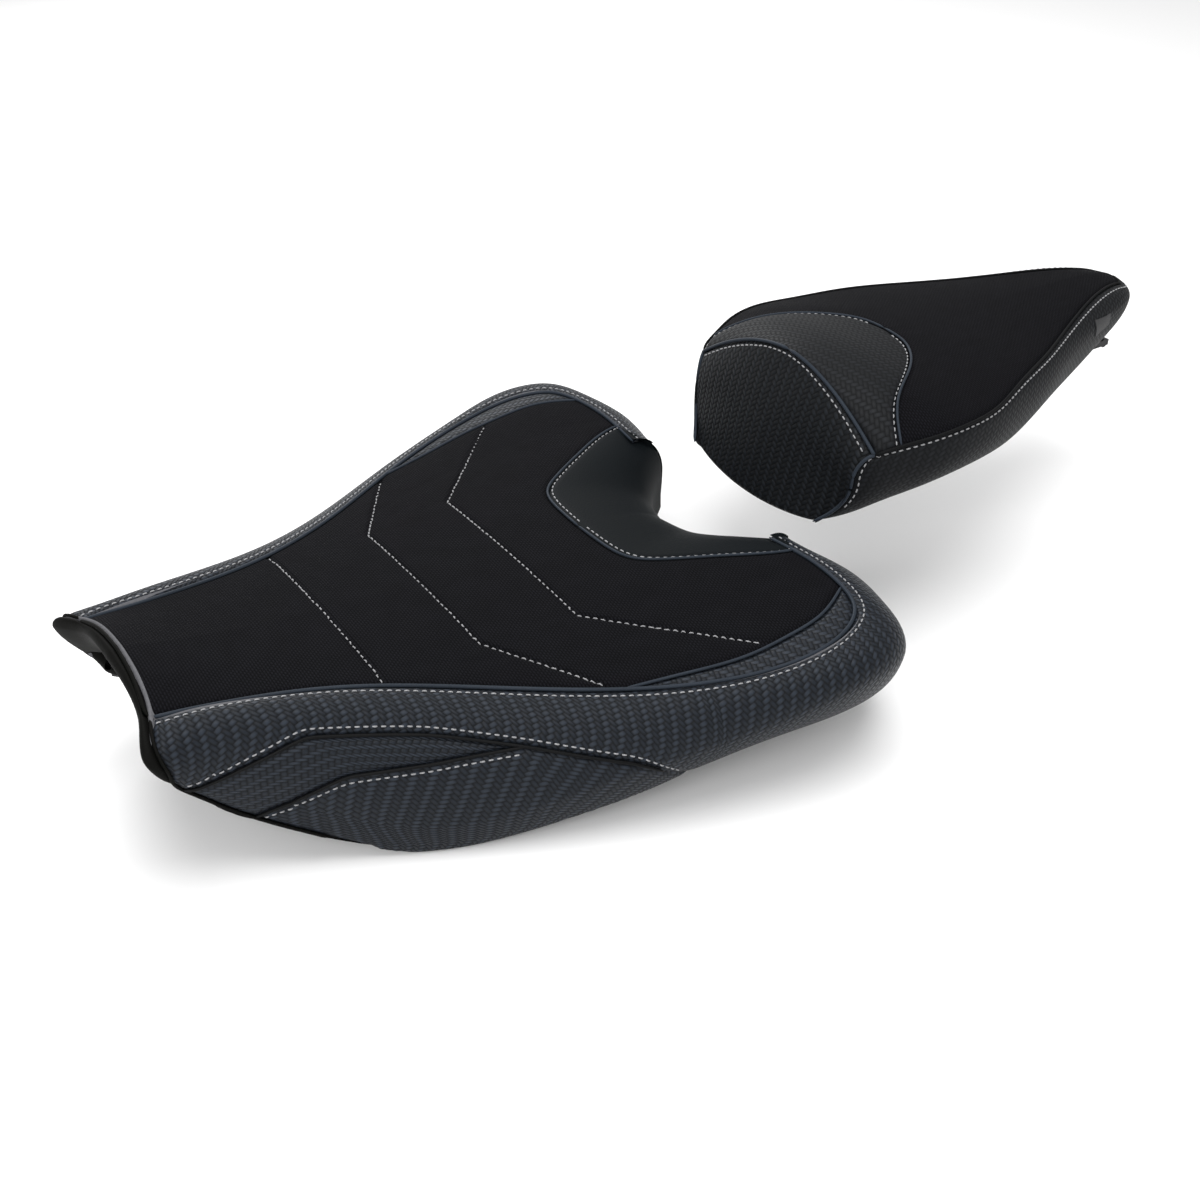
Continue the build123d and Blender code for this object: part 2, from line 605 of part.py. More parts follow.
# ---------------------------------------------------------------- left and right halves
LEFT, RIGHT = half_space(True), half_space(False)
PAIRS = {
    "rider_hip_crescent": rider_hip_crescents, "rider_band": rider_bands,
    "rider_wedge": rider_wedges, "rider_skirt": rider_skirts, "rider_bolt_tab": rider_tabs,
    "passenger_side_panel": passenger_sides, "passenger_hook": passenger_hooks,
}
pieces = {
    "rider_base_pan": rider_base_pan, "rider_foam_pad": rider_foam_pad,
    "rider_top_panel": rider_top_panel, "rider_notch_panel": rider_notch_panel,
    "rider_front_strip": rider_front_strip, "rider_tongue": rider_tongue,
    "rider_rivets": rider_rivets, "rider_rubber_bumpers": rider_bumpers,
    "rider_cover_staples": rider_staples, "passenger_base_pan": passenger_base_pan,
    "passenger_foam_pad": passenger_foam_pad, "passenger_front_panel": passenger_front_panel,
    "passenger_saddle_band": passenger_saddle_band, "passenger_top_panel": passenger_top_panel,
    "passenger_lock_striker": passenger_striker,
    "passenger_striker_plate": passenger_striker_plate,
    "passenger_plate_screws": passenger_plate_screws,
    "passenger_hook_screws": passenger_hook_screws,
    "passenger_rubber_bumpers": passenger_bumpers,
    "passenger_cover_staples": passenger_staples,
    "passenger_blank_label": passenger_blank_label,
}
for name, pair in PAIRS.items():
    for end, block in (("left", LEFT), ("right", RIGHT)):
        with BuildPart() as half:
            add(pair.part)
            add(block, mode=Mode.INTERSECT)
        pieces[f"{name}_{end}"] = half

for name, piece in pieces.items():
    piece.part.label = name
    export_step(piece.part, f"parts/{name}.step")
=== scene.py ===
"""Looks of the two-piece motorcycle seat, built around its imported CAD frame.

Lengths in the tables are millimetres in the row frame (+X forward, +Y left, +Z up);
build() turns them into metres. Every cover panel is its own mesh between its seams.
"""
import math

import bpy
import numpy as np
from mathutils import Matrix, Vector
from mathutils.bvhtree import BVHTree
from mathutils.kdtree import KDTree


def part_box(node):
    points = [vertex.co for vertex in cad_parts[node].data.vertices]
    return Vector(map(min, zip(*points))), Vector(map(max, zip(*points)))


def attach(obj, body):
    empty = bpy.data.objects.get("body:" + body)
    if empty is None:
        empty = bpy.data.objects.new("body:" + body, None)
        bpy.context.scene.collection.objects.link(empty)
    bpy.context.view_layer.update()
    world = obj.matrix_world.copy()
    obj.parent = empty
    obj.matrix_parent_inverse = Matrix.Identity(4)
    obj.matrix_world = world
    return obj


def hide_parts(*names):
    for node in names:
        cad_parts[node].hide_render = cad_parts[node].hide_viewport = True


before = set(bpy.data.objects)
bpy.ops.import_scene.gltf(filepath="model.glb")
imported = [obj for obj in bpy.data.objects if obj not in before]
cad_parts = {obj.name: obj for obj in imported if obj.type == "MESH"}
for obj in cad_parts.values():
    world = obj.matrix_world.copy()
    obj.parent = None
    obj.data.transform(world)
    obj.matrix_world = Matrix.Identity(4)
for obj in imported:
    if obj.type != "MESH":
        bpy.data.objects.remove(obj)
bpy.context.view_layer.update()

MM = 0.001
STEP = 1.7           # spacing of mesh points on the panels

# ------------------------------------------------------------------ seat shape, as in the CAD
# X, floor half-width, floor height, rim half-width, rim height of the rider pan's top
RIDER_PAN = np.array([
    (-48, 100, 16, 148.2, 13.5), (0, 100, 16, 153.2, 12.5), (35, 100, 16, 157.2, 11.5),
    (80, 95, 16, 152.2, 9.5), (140, 80, 22, 145.2, 2.5), (200, 66, 30, 125.2, -11.5),
    (255, 54, 40, 100.2, -18.5), (300, 48, 50, 80.2, -2.5), (340, 44, 58, 63.2, 20.5),
    (355, 42, 61, 57.2, 32.5), (368, 40, 63, 52.2, 47.5), (388, 38, 66, 49.2, 53.5)])
PAN = 3.0                              # thickness of the pan

# Wall of the rider seat, left half, from the middle of the nose round to the notch.
# Seam, widest and hem points (x, y, z each), then how far the side bulges.
WALL = np.array([
    (362.0, 0, 87.0, 367, 0, 82, 352, 0, 63, 1.0),
    (363.0, 25, 84.0, 367, 28, 79, 353, 26, 61, 1.0),
    (365.0, 41, 79.0, 370, 48, 72, 357, 45, 55, 1.0),
    (364.0, 47.5, 76.0, 375, 67, 65, 363, 61, 47, 1.0),
    (355.0, 49, 75.0, 359, 69, 53, 353, 64, 32, 1.3),
    (340.0, 50.5, 73.5, 339, 71, 37, 338, 67, 17, 1.5),
    (300.0, 57, 69.0, 300, 86, 14, 300, 84, -6, 1.35),
    (255.0, 71, 63.0, 255, 109, -2, 255, 104, -22, 1.1),
    (200.0, 100, 56.5, 200, 136, 8, 200, 128, -14.5, 0.9),
    (140.0, 136, 54.0, 140, 159.5, 25, 140, 148, -0.5, 0.9),
    (80.0, 160, 56.0, 80, 177, 36, 80, 155, 6.5, 1.2),
    (42.0, 163, 60.5, 37, 184, 43, 35, 161, 8, 1.4),
    (19.0, 152, 64.0, 2, 174, 42, 1, 157, 9, 1.2),
    (10.0, 131, 65.0, -14, 146, 40, -19, 138, 9, 0.9),
    (7.0, 104, 64.5, -22, 115, 40, -29, 112, 10, 0.7),
    (8.0, 82, 63.5, -17, 86, 40, -24, 87, 10, 0.7),
    (9.0, 68, 62.5, -12, 66, 36, -11, 67, 10, 1.0)])
CROWN = np.array([(-48, 56), (0, 63), (35, 66), (80, 65), (140, 63), (200, 63), (255, 67),
                  (300, 73), (340, 80.5), (362, 87), (388, 95)], float)
TOP_HALF = np.array([(-48, 154, 60), (0, 160, 65), (35, 163, 62), (80, 160, 56),
                     (140, 136, 54), (200, 100, 56.5), (255, 71, 63), (300, 57, 69),
                     (340, 50.5, 73.5), (364, 47.5, 76), (388, 45, 78)], float)
NOTCH_SEAM = [(8, 88), (16, 85.5), (46, 71), (74, 55), (87, 44), (93, 22), (94, 0)]
NOTCH_EDGE = [(-12, 65), (-5, 59), (11, 43), (25, 23), (32, 0)]
CRESCENT = [(152, 129), (120, 137), (84, 145), (58, 146), (36, 144), (10, 131)]
CHEVRONS = [
    [(254, 0), (254, 71)],
    [(196, 0), (196, 63), (157, 124)],
    [(140.5, 0), (140.5, 70), (73, 142.5)]]
BAND_LOW = [(362, 38), (303, 57), (246, 47.5), (202, 37), (156, 24), (130, 5)]
WEDGE_LOW = [(330, 14), (290, 33.5), (250, 34), (205, 38)]

# Passenger seat, left half: seam (x, y, z), widest (y, z), hem (y, z), crown z.
PASSENGER = np.array([
    (-54, 81, 102, 82, 90, 67, 57, 135.4), (-69, 89, 107.5, 90, 95, 72, 62, 137),
    (-86, 95.5, 111, 97, 97, 78, 68, 136), (-110, 98, 113.5, 99.5, 100, 83, 73, 132),
    (-135, 93.5, 114, 96, 100, 83, 75, 129.5), (-165, 82, 117, 87, 102, 78, 76, 127.5),
    (-204, 65.5, 118, 73, 104, 65, 80, 125.5), (-240, 48, 119, 57, 106, 52, 84, 124.5),
    (-268, 35, 120.5, 46, 108, 42, 87, 124), (-300, 22, 121, 35, 111, 31, 92, 123),
    (-322, 15, 118.5, 27, 110, 24, 98, 121), (-337, 10, 114, 18, 108, 15, 103, 117)])
SADDLE = [(-66, 90), (-69, 84), (-74, 75), (-81, 67), (-92, 58.5), (-106, 48.5), (-119, 36),
          (-128, 20), (-130, 0)]
ARCH_HALF, ARCH_LOW, ARCH_TOP = 81.0, 102.0, 135.4     # upper edge of the front face


def spline(xs, ys, x):
    """Natural cubic spline through (xs, ys), xs rising; ys may hold several columns."""
    xs, ys, x = np.asarray(xs, float), np.asarray(ys, float), np.asarray(x, float)
    n, h = len(xs), np.diff(xs)
    a, b = np.zeros((n, n)), np.zeros((n,) + ys.shape[1:])
    a[0, 0] = a[-1, -1] = 1
    slope = (np.diff(ys, axis=0).T / h).T
    for i in range(1, n - 1):
        a[i, i - 1:i + 2] = h[i - 1], 2 * (h[i - 1] + h[i]), h[i]
        b[i] = 3 * (slope[i] - slope[i - 1])
    c = np.linalg.solve(a, b)
    i = np.clip(np.searchsorted(xs, x) - 1, 0, n - 2)
    t = x - xs[i]
    if ys.ndim > 1:
        t, hi = t[..., None], h[i][..., None]
    else:
        hi = h[i]
    return (ys[i] + (slope[i] - hi * (2 * c[i] + c[i + 1]) / 3) * t + c[i] * t ** 2
            + (c[i + 1] - c[i]) / (3 * hi) * t ** 3)


def lengths(p):
    """Distance along a chain of points, from its start."""
    return np.r_[0, np.cumsum(np.linalg.norm(np.diff(p, axis=0), axis=1))]


def smooth(points, n):
    """n points, evenly spaced by chord, on a spline through the given ones."""
    p = np.asarray(points, float)
    s = lengths(p)
    return spline(s, p, np.linspace(0, s[-1], n))


def evenly(points, step):
    """A chain of points respaced to about one step."""
    p = np.asarray(points, float)
    s = lengths(p)
    n = max(2, int(round(s[-1] / step)) + 1)
    t = np.linspace(0, s[-1], n)
    return np.stack([np.interp(t, s, p[:, k]) for k in range(p.shape[1])], axis=1)


def flip(p):
    """The same points on the other side of the centre plane."""
    return np.asarray(p, float) * (1, -1, 1)


def top_z(x, y):
    """Height of the rider seat's top."""
    half = spline(TOP_HALF[:, 0], TOP_HALF[:, 1:], x)
    crown = spline(CROWN[:, 0], CROWN[:, 1], x)
    return crown + (half[..., 1] - crown) * (np.abs(y) / half[..., 0]) ** 2


def on_top(points):
    """Plan points lifted onto the rider seat's top."""
    p = np.asarray(points, float)
    return np.stack([p[..., 0], p[..., 1], top_z(p[..., 0], p[..., 1])], axis=-1)


def section(row, t, full, lean, drop):
    """Point of a side's section: t 0 at the seam, 1 at the widest, 1.5 at the hem.

    full says how far it bulges above the widest point, and lean and drop say how far
    towards the hem the curve below it is drawn, in plan and in height.
    """
    seam_point, wide, hem = row[..., 0:3], row[..., 3:6], row[..., 6:9]
    a = np.clip(t, 0, 1)
    across = a + full * (np.sin(a * np.pi / 2) - a)
    down = a + full * (1 - np.cos(a * np.pi / 2) - a)
    p = seam_point + (wide - seam_point) * np.stack([across, across, down], axis=-1)
    q = np.clip((t - 1) * 2, 0, 1)[..., None]
    mid = wide + (hem - wide) * (lean, lean, drop)
    tuck = (1 - q) ** 2 * wide + 2 * q * (1 - q) * mid + q ** 2 * hem
    return np.where((t > 1)[..., None], tuck, p)


WALL_S = lengths(WALL[:, 3:6])


def wall(s, t):
    """Point of the rider wall, s mm round it from the middle of the nose."""
    row = spline(WALL_S, WALL, s)
    return section(row, t, row[..., 9], 0.2, 0.5)


def pan_under(x, y):
    """Height of the underside of the rider pan."""
    cols = [np.interp(x, RIDER_PAN[:, 0], RIDER_PAN[:, k]) for k in range(1, 5)]
    part = np.clip((np.abs(y) - cols[0]) / (cols[2] - cols[0]), 0, 1.15)
    return cols[1] + (cols[3] - cols[1]) * part - PAN


def passenger_row(x):
    """Seam y, z; widest y, z; hem y, z; crown z of the passenger seat at x."""
    return spline(PASSENGER[::-1, 0], PASSENGER[::-1, 1:], x)


def passenger_top(x, y):
    """Height of the passenger seat's top."""
    r = passenger_row(x)
    return r[..., 6] + (r[..., 1] - r[..., 6]) * (np.abs(y) / r[..., 0]) ** 2


# ------------------------------------------------------------------ meshes
GROOVE, GROOVE_WIDE = 1.5, 1.9         # how far a panel dips at its seams
PUFF, PUFF_WIDE = 1.0, 9.0             # how far it rises between them
DIMPLE, DIMPLE_WIDE = 0.35, 1.3        # along a line of topstitching


def near(points, chains):
    """Distance of each point to the nearest of the chains."""
    chains = [evenly(c, 1.0) for c in chains if len(c) > 1]
    if not chains:
        return np.full(len(points), 1e6)
    every = np.concatenate(chains)
    tree = KDTree(len(every))
    for i, p in enumerate(every):
        tree.insert(p, i)
    tree.balance()
    return np.array([tree.find(p)[2] for p in points])


def grid_faces(rows, cols):
    """Quads of a rows x cols grid of points."""
    i, j = np.meshgrid(np.arange(rows - 1), np.arange(cols - 1), indexing="ij")
    a = (i * cols + j).ravel()
    return np.stack([a, a + cols, a + cols + 1, a + 1], axis=1)


def ring_faces(rows, cols, base=0):
    """Quads of a tube of closed rings, with a face over each end."""
    faces = [(base + i * cols + j, base + i * cols + (j + 1) % cols,
              base + (i + 1) * cols + (j + 1) % cols, base + (i + 1) * cols + j)
             for i in range(rows - 1) for j in range(cols)]
    faces.append(tuple(base + j for j in reversed(range(cols))))
    faces.append(tuple(base + (rows - 1) * cols + j for j in range(cols)))
    return faces


def rings_round(line, side, up, radius, sides, squash=1.0):
    """A ring of points round each point of a line."""
    angle = np.linspace(0, 2 * np.pi, sides, endpoint=False)[None, :, None]
    return line[:, None] + radius[:, None, None] * (
        np.cos(angle) * side[:, None] + squash * np.sin(angle) * up[:, None])


def unit(v):
    """Vectors brought to length 1."""
    return v / np.maximum(np.linalg.norm(v, axis=-1, keepdims=True), 1e-9)


def grid_normals(p):
    """Unit normals of a grid of points."""
    return unit(np.cross(np.gradient(p, axis=0), np.gradient(p, axis=1)))


def build(name, points, faces, grain=None, body="rider_seat", slot=None, material=None,
          smooth_shade=True):
    """A mesh piece from millimetre points, riding on a body."""
    mesh = bpy.data.meshes.new(name)
    mesh.from_pydata((np.asarray(points) * MM).tolist(), [], [tuple(map(int, f)) for f in faces])
    mesh.update()
    if grain is not None:
        layer = mesh.attributes.new("grain", "FLOAT_VECTOR", "POINT")
        layer.data.foreach_set("vector", np.asarray(grain, np.float32).ravel())
    if smooth_shade:
        mesh.shade_smooth()
    piece = bpy.data.objects.new(name, mesh)
    bpy.context.scene.collection.objects.link(piece)
    mesh.materials.append(material)
    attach(piece, body)
    return piece


SURFACES = {}                          # name of a panel: its surface, for the stitches


def panel(name, p, outward, seams=(), stitches=(), grain=None, grain_turn=0.0, puff=PUFF,
          deep=DIMPLE, **look):
    """A cover panel from a grid of points, dipping at its seams and swelling between them.

    It stands in for the CAD node of the same name. outward picks the side that faces out.
    """
    n, faces = grid_normals(p), grid_faces(*p.shape[:2])
    if np.mean(np.sum(n * outward, axis=-1)) < 0:
        n, faces = -n, faces[:, ::-1]
    flat = p.reshape(-1, 3)
    seam, line = near(flat, seams), near(flat, stitches)
    rise = puff * (1 - np.exp(-seam / PUFF_WIDE)) - GROOVE * np.exp(-(seam / GROOVE_WIDE) ** 2)
    rise -= deep * np.exp(-(line / DIMPLE_WIDE) ** 2)
    moved = flat + n.reshape(-1, 3) * rise[:, None]
    if grain is not None:
        grain = grain.reshape(-1, 3).copy()
        c, s = math.cos(grain_turn), math.sin(grain_turn)
        grain[:, 0], grain[:, 1] = (grain[:, 0] * c - grain[:, 1] * s,
                                    grain[:, 0] * s + grain[:, 1] * c)
    piece = build(name, moved, faces, grain, **look)
    SURFACES[name] = BVHTree.FromPolygons(moved.tolist(), faces.tolist())
    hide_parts(name)
    return piece


def snap(points, names, lift):
    """Points laid on the named panels, lifted off them."""
    out = []
    for p in points:
        best = None
        for name in names:
            hit = SURFACES[name].find_nearest(Vector(p))
            if hit[0] is not None and (best is None or hit[3] < best[3]):
                best = hit
        out.append(np.array(best[0]) + np.array(best[1]) * lift)
    return np.array(out)


THREAD_R, THREAD_LIFT = 0.45, 0.25     # a stitch's radius, and how far its line stands off
STITCH, STITCH_GAP = 4.3, 1.2          # from stitch to stitch, and the bare part of it


def thread_run(name, chains, on, body="rider_seat"):
    """A seam's stitches: short arched threads that dive into the cover at both ends."""
    rings, sides = ((7, 6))
    f = np.linspace(-1, 1, rings)
    radius = THREAD_R * np.sqrt(np.maximum(1 - np.abs(f) ** 3, 0.12))
    sink = -0.75 * np.abs(f) ** 4
    points, faces = [], []
    for chain in chains:
        way = evenly(chain, 0.5)
        s = lengths(way)
        for start in np.arange(1.0, s[-1] - STITCH + STITCH_GAP, STITCH):
            t = np.linspace(start, start + STITCH - STITCH_GAP, rings)
            line = np.stack([np.interp(t, s, way[:, c]) for c in range(3)], axis=1)
            line = snap(line, on, THREAD_LIFT)
            along = unit(np.gradient(line, axis=0))
            side = unit(np.cross(along, snap(line, on, 1.0) - snap(line, on, 0.0)))
            up = np.cross(side, along)
            ring = rings_round(line + up * sink[:, None], side, up, radius, sides, 0.8)
            faces += ring_faces(rings, sides, len(points) * rings * sides)
            points.append(ring.reshape(-1, 3))
    build(name, np.concatenate(points), faces, body=body, material=THREAD)


def tube(name, chains, radius, material, body="rider_seat", slot="smooth_vinyl", sides=8):
    """Welt cord along chains of points, thinner at its two ends."""
    points, faces, base = [], [], 0
    for chain in chains:
        line = evenly(chain, 2.0)
        along = unit(np.gradient(line, axis=0))
        side = np.cross(along, (0, 0, 1.0))
        upright = np.linalg.norm(side, axis=1) < 0.2
        side[upright] = np.cross(along[upright], (0, 1.0, 0))
        side = unit(side)
        from_start = np.arange(len(line))
        taper = np.minimum(1, np.minimum(from_start, from_start[::-1]) / 2 + 0.25)
        up = np.cross(side, along)
        points.append(rings_round(line, side, up, radius * taper, sides).reshape(-1, 3))
        faces += ring_faces(len(line), sides, base)
        base += len(line) * sides
    build(name, np.concatenate(points), faces, body=body, material=material, slot=slot)


# ------------------------------------------------------------------ materials
def nodes_of(name, rough=0.5, **sockets):
    """A new material and helpers to add nodes to it."""
    mat = bpy.data.materials.new(name)
    mat.use_nodes = True
    tree = mat.node_tree
    shader = tree.nodes["Principled BSDF"]
    shader.inputs["Roughness"].default_value = rough
    for key, value in sockets.items():
        shader.inputs[key.replace("_", " ")].default_value = value

    def add(kind, **props):
        node = tree.nodes.new(kind)
        for key, value in props.items():
            setattr(node, key, value)
        return node

    def link(out, socket):
        tree.links.new(out, socket)

    def math_node(op, a, b=None, c=None):
        node = add("ShaderNodeMath", operation=op)
        for i, value in enumerate((a, b, c)):
            if value is None:
                continue
            if isinstance(value, (int, float)):
                node.inputs[i].default_value = value
            else:
                link(value, node.inputs[i])
        return node.outputs[0]
    return mat, shader, add, link, math_node


def colour_mix(add, link, factor, dark, light):
    """A mix of two colours by a factor."""
    mix = add("ShaderNodeMix", data_type="RGBA")
    link(factor, mix.inputs["Factor"])
    mix.inputs["A"].default_value = (*dark, 1)
    mix.inputs["B"].default_value = (*light, 1)
    return mix.outputs["Result"]


def bump(add, link, height, shader, strength, distance):
    """Bump on a shader from a height."""
    node = add("ShaderNodeBump")
    node.inputs["Strength"].default_value = strength
    node.inputs["Distance"].default_value = distance
    link(height, node.inputs["Height"])
    link(node.outputs["Normal"], shader.inputs["Normal"])


def noise_node(add, scale, detail):
    """A noise texture."""
    noise = add("ShaderNodeTexNoise")
    noise.inputs["Scale"].default_value = scale
    noise.inputs["Detail"].default_value = detail
    return noise


def cloth_axes(add, link):
    """The cloth coordinates of a panel, in mm."""
    grain = add("ShaderNodeAttribute", attribute_name="grain")
    split = add("ShaderNodeSeparateXYZ")
    link(grain.outputs["Vector"], split.inputs[0])
    return split.outputs[0], split.outputs[1]


def hump(m, part, power):
    """A hump from 0 to 1 and back as a part runs from 0 to 1."""
    return m("POWER", m("MAXIMUM", m("SINE", m("MULTIPLY", part, math.pi)), 0.001), power)


def twill(name, tow, dark, light, rough, relief=1.0):
    """Vinyl embossed like a 2 by 2 twill: tows run over two and under two, one step aside."""
    mat, shader, add, link, m = nodes_of(name, rough, Specular_IOR_Level=0.13)
    u, v = (m("DIVIDE", axis, tow) for axis in cloth_axes(add, link))
    fu, fv = m("FRACT", u), m("FRACT", v)
    turn = m("FLOORED_MODULO", m("ADD", m("FLOOR", u), m("FLOOR", v)), 4.0)
    warp = m("LESS_THAN", turn, 1.5)
    weft = m("SUBTRACT", 1.0, warp)
    warp_run = m("MULTIPLY", m("ADD", turn, fv), 0.5)
    weft_run = m("MULTIPLY", m("ADD", m("SUBTRACT", turn, 2.0), fu), 0.5)
    run = m("ADD", m("MULTIPLY", warp, warp_run), m("MULTIPLY", weft, weft_run))
    cross = m("ADD", m("MULTIPLY", warp, fu), m("MULTIPLY", weft, fv))
    height = m("MULTIPLY", hump(m, run, 0.6), hump(m, cross, 0.5))
    fine = m("SINE", m("MULTIPLY", cross, math.pi * 9))
    noise = noise_node(add, 30, 4)
    # Painted shade and sheen: the colour follows the weave's height, so raised tows are lighter and
    # the grooves between them darker. Weft tows are painted lighter than warp tows as a painted
    # reflection of their other direction. The noise adds random tone.
    shade_and_tone = m("MULTIPLY", height, m("ADD", m("MULTIPLY", weft, 0.45), 0.55))
    shade_and_tone = m("MULTIPLY", shade_and_tone, m("ADD", m("MULTIPLY", noise.outputs["Fac"], 0.5), 0.75))
    link(colour_mix(add, link, shade_and_tone, dark, light), shader.inputs["Base Color"])
    relief_height = m("ADD", height, m("MULTIPLY", fine, 0.05))
    bump(add, link, relief_height, shader, 0.75 * relief, 0.0005)
    rough_map = m("ADD", m("MULTIPLY", m("SUBTRACT", 1.0, height), 0.25), rough)
    link(rough_map, shader.inputs["Roughness"])
    return mat


RIB_PITCH, DASH_PITCH = 1.5, 2.4


def ribbed(name, dark, light):
    """Grip fabric: fine rows of small raised dashes, each row half a step aside."""
    mat, shader, add, link, m = nodes_of(name, 0.78, Specular_IOR_Level=0.04)
    across, along = cloth_axes(add, link)
    row = m("DIVIDE", across, RIB_PITCH)
    shift = m("MULTIPLY", m("FLOORED_MODULO", m("FLOOR", row), 2.0), 0.5)
    cell = m("ADD", m("DIVIDE", along, DASH_PITCH), shift)
    bars = m("SINE", m("MULTIPLY", m("FRACT", row), math.pi))
    height = m("MULTIPLY", bars, hump(m, m("FRACT", cell), 0.6))
    noise = noise_node(add, 22, 5)
    # Painted shade: the colour follows the dashes' height, lighter on their tops and darker in the
    # grooves between them, with random tone from the noise.
    shade_and_tone = m("MULTIPLY", height, m("ADD", m("MULTIPLY", noise.outputs["Fac"], 0.9), 0.5))
    link(colour_mix(add, link, shade_and_tone, dark, light), shader.inputs["Base Color"])
    bump(add, link, height, shader, 0.8, 0.0004)
    return mat


def vinyl(name, dark, light, rough=0.42):
    """Smooth seat vinyl with a fine pebbled grain."""
    mat, shader, add, link, m = nodes_of(name, rough, Specular_IOR_Level=0.05)
    pebble = add("ShaderNodeTexVoronoi")
    pebble.inputs["Scale"].default_value = 1100
    place = add("ShaderNodeTexCoord")
    link(place.outputs["Object"], pebble.inputs["Vector"])
    noise = noise_node(add, 18, 6)
    link(place.outputs["Object"], noise.inputs["Vector"])
    link(colour_mix(add, link, noise.outputs["Fac"], dark, light), shader.inputs["Base Color"])
    bump(add, link, pebble.outputs["Distance"], shader, 0.25, 0.0003)
    link(m("ADD", m("MULTIPLY", noise.outputs["Fac"], 0.16), rough - 0.08), shader.inputs["Roughness"])
    return mat


def thread(name, colour):
    """Twisted polyester thread."""
    mat, shader, add, link, m = nodes_of(name, 0.6, Sheen_Weight=0.2)
    place = add("ShaderNodeTexCoord")
    wave = add("ShaderNodeTexWave", wave_type="BANDS", bands_direction="DIAGONAL")
    wave.inputs["Scale"].default_value = 900
    link(place.outputs["Object"], wave.inputs["Vector"])
    # Painted shade: the twist's bands are darker where the bump is low, in the grooves between the
    # plies.
    dark = tuple(0.6 * c for c in colour)
    link(colour_mix(add, link, wave.outputs["Fac"], dark, colour), shader.inputs["Base Color"])
    bump(add, link, wave.outputs["Fac"], shader, 0.5, 0.0002)
    return mat


def grained(name, dark, light, rough, metal=0.0, scale=60, relief=0.2, stretch=(1, 1, 1)):
    """Plastic, rubber, foam or metal with a fine noise in colour, roughness and bump."""
    mat, shader, add, link, m = nodes_of(name, rough, Metallic=metal)
    place = add("ShaderNodeTexCoord")
    spread = add("ShaderNodeMapping")
    spread.inputs["Scale"].default_value = stretch
    link(place.outputs["Object"], spread.inputs["Vector"])
    noise = noise_node(add, scale, 8)
    link(spread.outputs["Vector"], noise.inputs["Vector"])
    link(colour_mix(add, link, noise.outputs["Fac"], dark, light), shader.inputs["Base Color"])
    link(m("ADD", m("MULTIPLY", noise.outputs["Fac"], 0.2), rough - 0.1), shader.inputs["Roughness"])
    bump(add, link, noise.outputs["Fac"], shader, relief, 0.0004)
    return mat


TWILL = twill("twill_vinyl", 2.5, (0.001, 0.0012, 0.0015), (0.02, 0.025, 0.034), 0.36)
TWILL_SOFT = twill("soft_twill_vinyl", 2.5, (0.002, 0.0023, 0.0027), (0.007, 0.008, 0.01), 0.52, 0.5)
TWILL_FACE = twill("face_twill_vinyl", 2.6, (0.0006, 0.0007, 0.0008), (0.009, 0.011, 0.014), 0.45)
RIBBED = ribbed("ribbed_fabric", (0.0012, 0.0012, 0.0015), (0.007, 0.007, 0.009))
VINYL = vinyl("smooth_vinyl", (0.002, 0.003, 0.0035), (0.004, 0.0055, 0.007), 0.6)
STRIP = vinyl("strip_vinyl", (0.002, 0.002, 0.0018), (0.004, 0.004, 0.0034), 0.65)
# Painted highlight: the piping welts are real, but their lighter bluish-grey colour stands in for the
# highlight along the seams.
PIPING_HIGHLIGHT = vinyl("piping_vinyl_painted_highlight", (0.014, 0.018, 0.024), (0.03, 0.037, 0.048), 0.38)
THREAD = thread("grey_thread", (0.3, 0.3, 0.31))
PLASTIC = grained("pan_plastic", (0.012, 0.012, 0.013), (0.028, 0.028, 0.03), 0.55, scale=700,
                  relief=0.3)
ZINC = grained("zinc_steel", (0.5, 0.49, 0.45), (0.72, 0.71, 0.68), 0.34, 1.0, 90, 0.08)
# Near black steel for the hooks: the darkness is painted shade, which keeps their tips below the
# passenger seat's tail as dark as the shade there.
SHADE_DARK_STEEL = grained("near_black_steel_painted_shade", (0.012, 0.012, 0.013), (0.03, 0.03, 0.032), 0.5, 0.6, 150, 0.15)
BRIGHT = grained("bright_steel", (0.6, 0.6, 0.6), (0.78, 0.78, 0.78), 0.25, 1.0, 120, 0.05)
RUBBER = grained("black_rubber", (0.01, 0.01, 0.01), (0.03, 0.03, 0.03), 0.75, scale=300, relief=0.35)
FOAM = grained("foam", (0.05, 0.05, 0.055), (0.12, 0.12, 0.13), 0.9, scale=500, relief=0.6)
STAPLE = grained("staple_steel", (0.4, 0.4, 0.42), (0.66, 0.66, 0.68), 0.3, 1.0, 200, 0.1)
RIVET = grained("rivet_alloy", (0.55, 0.55, 0.56), (0.74, 0.74, 0.75), 0.38, 1.0, 150, 0.1)
LABEL = grained("label_cloth", (0.008, 0.008, 0.009), (0.03, 0.03, 0.032), 0.7, scale=1500, relief=0.5,
                stretch=(1, 6, 1))

# ------------------------------------------------------------------ panel edges on the walls
S_END = WALL_S[-1]
MM_ST = np.array((1, 60.0))             # about how many mm one unit of s and of t spans
S_NOSE = WALL_S[3]                     # the strip's top corner


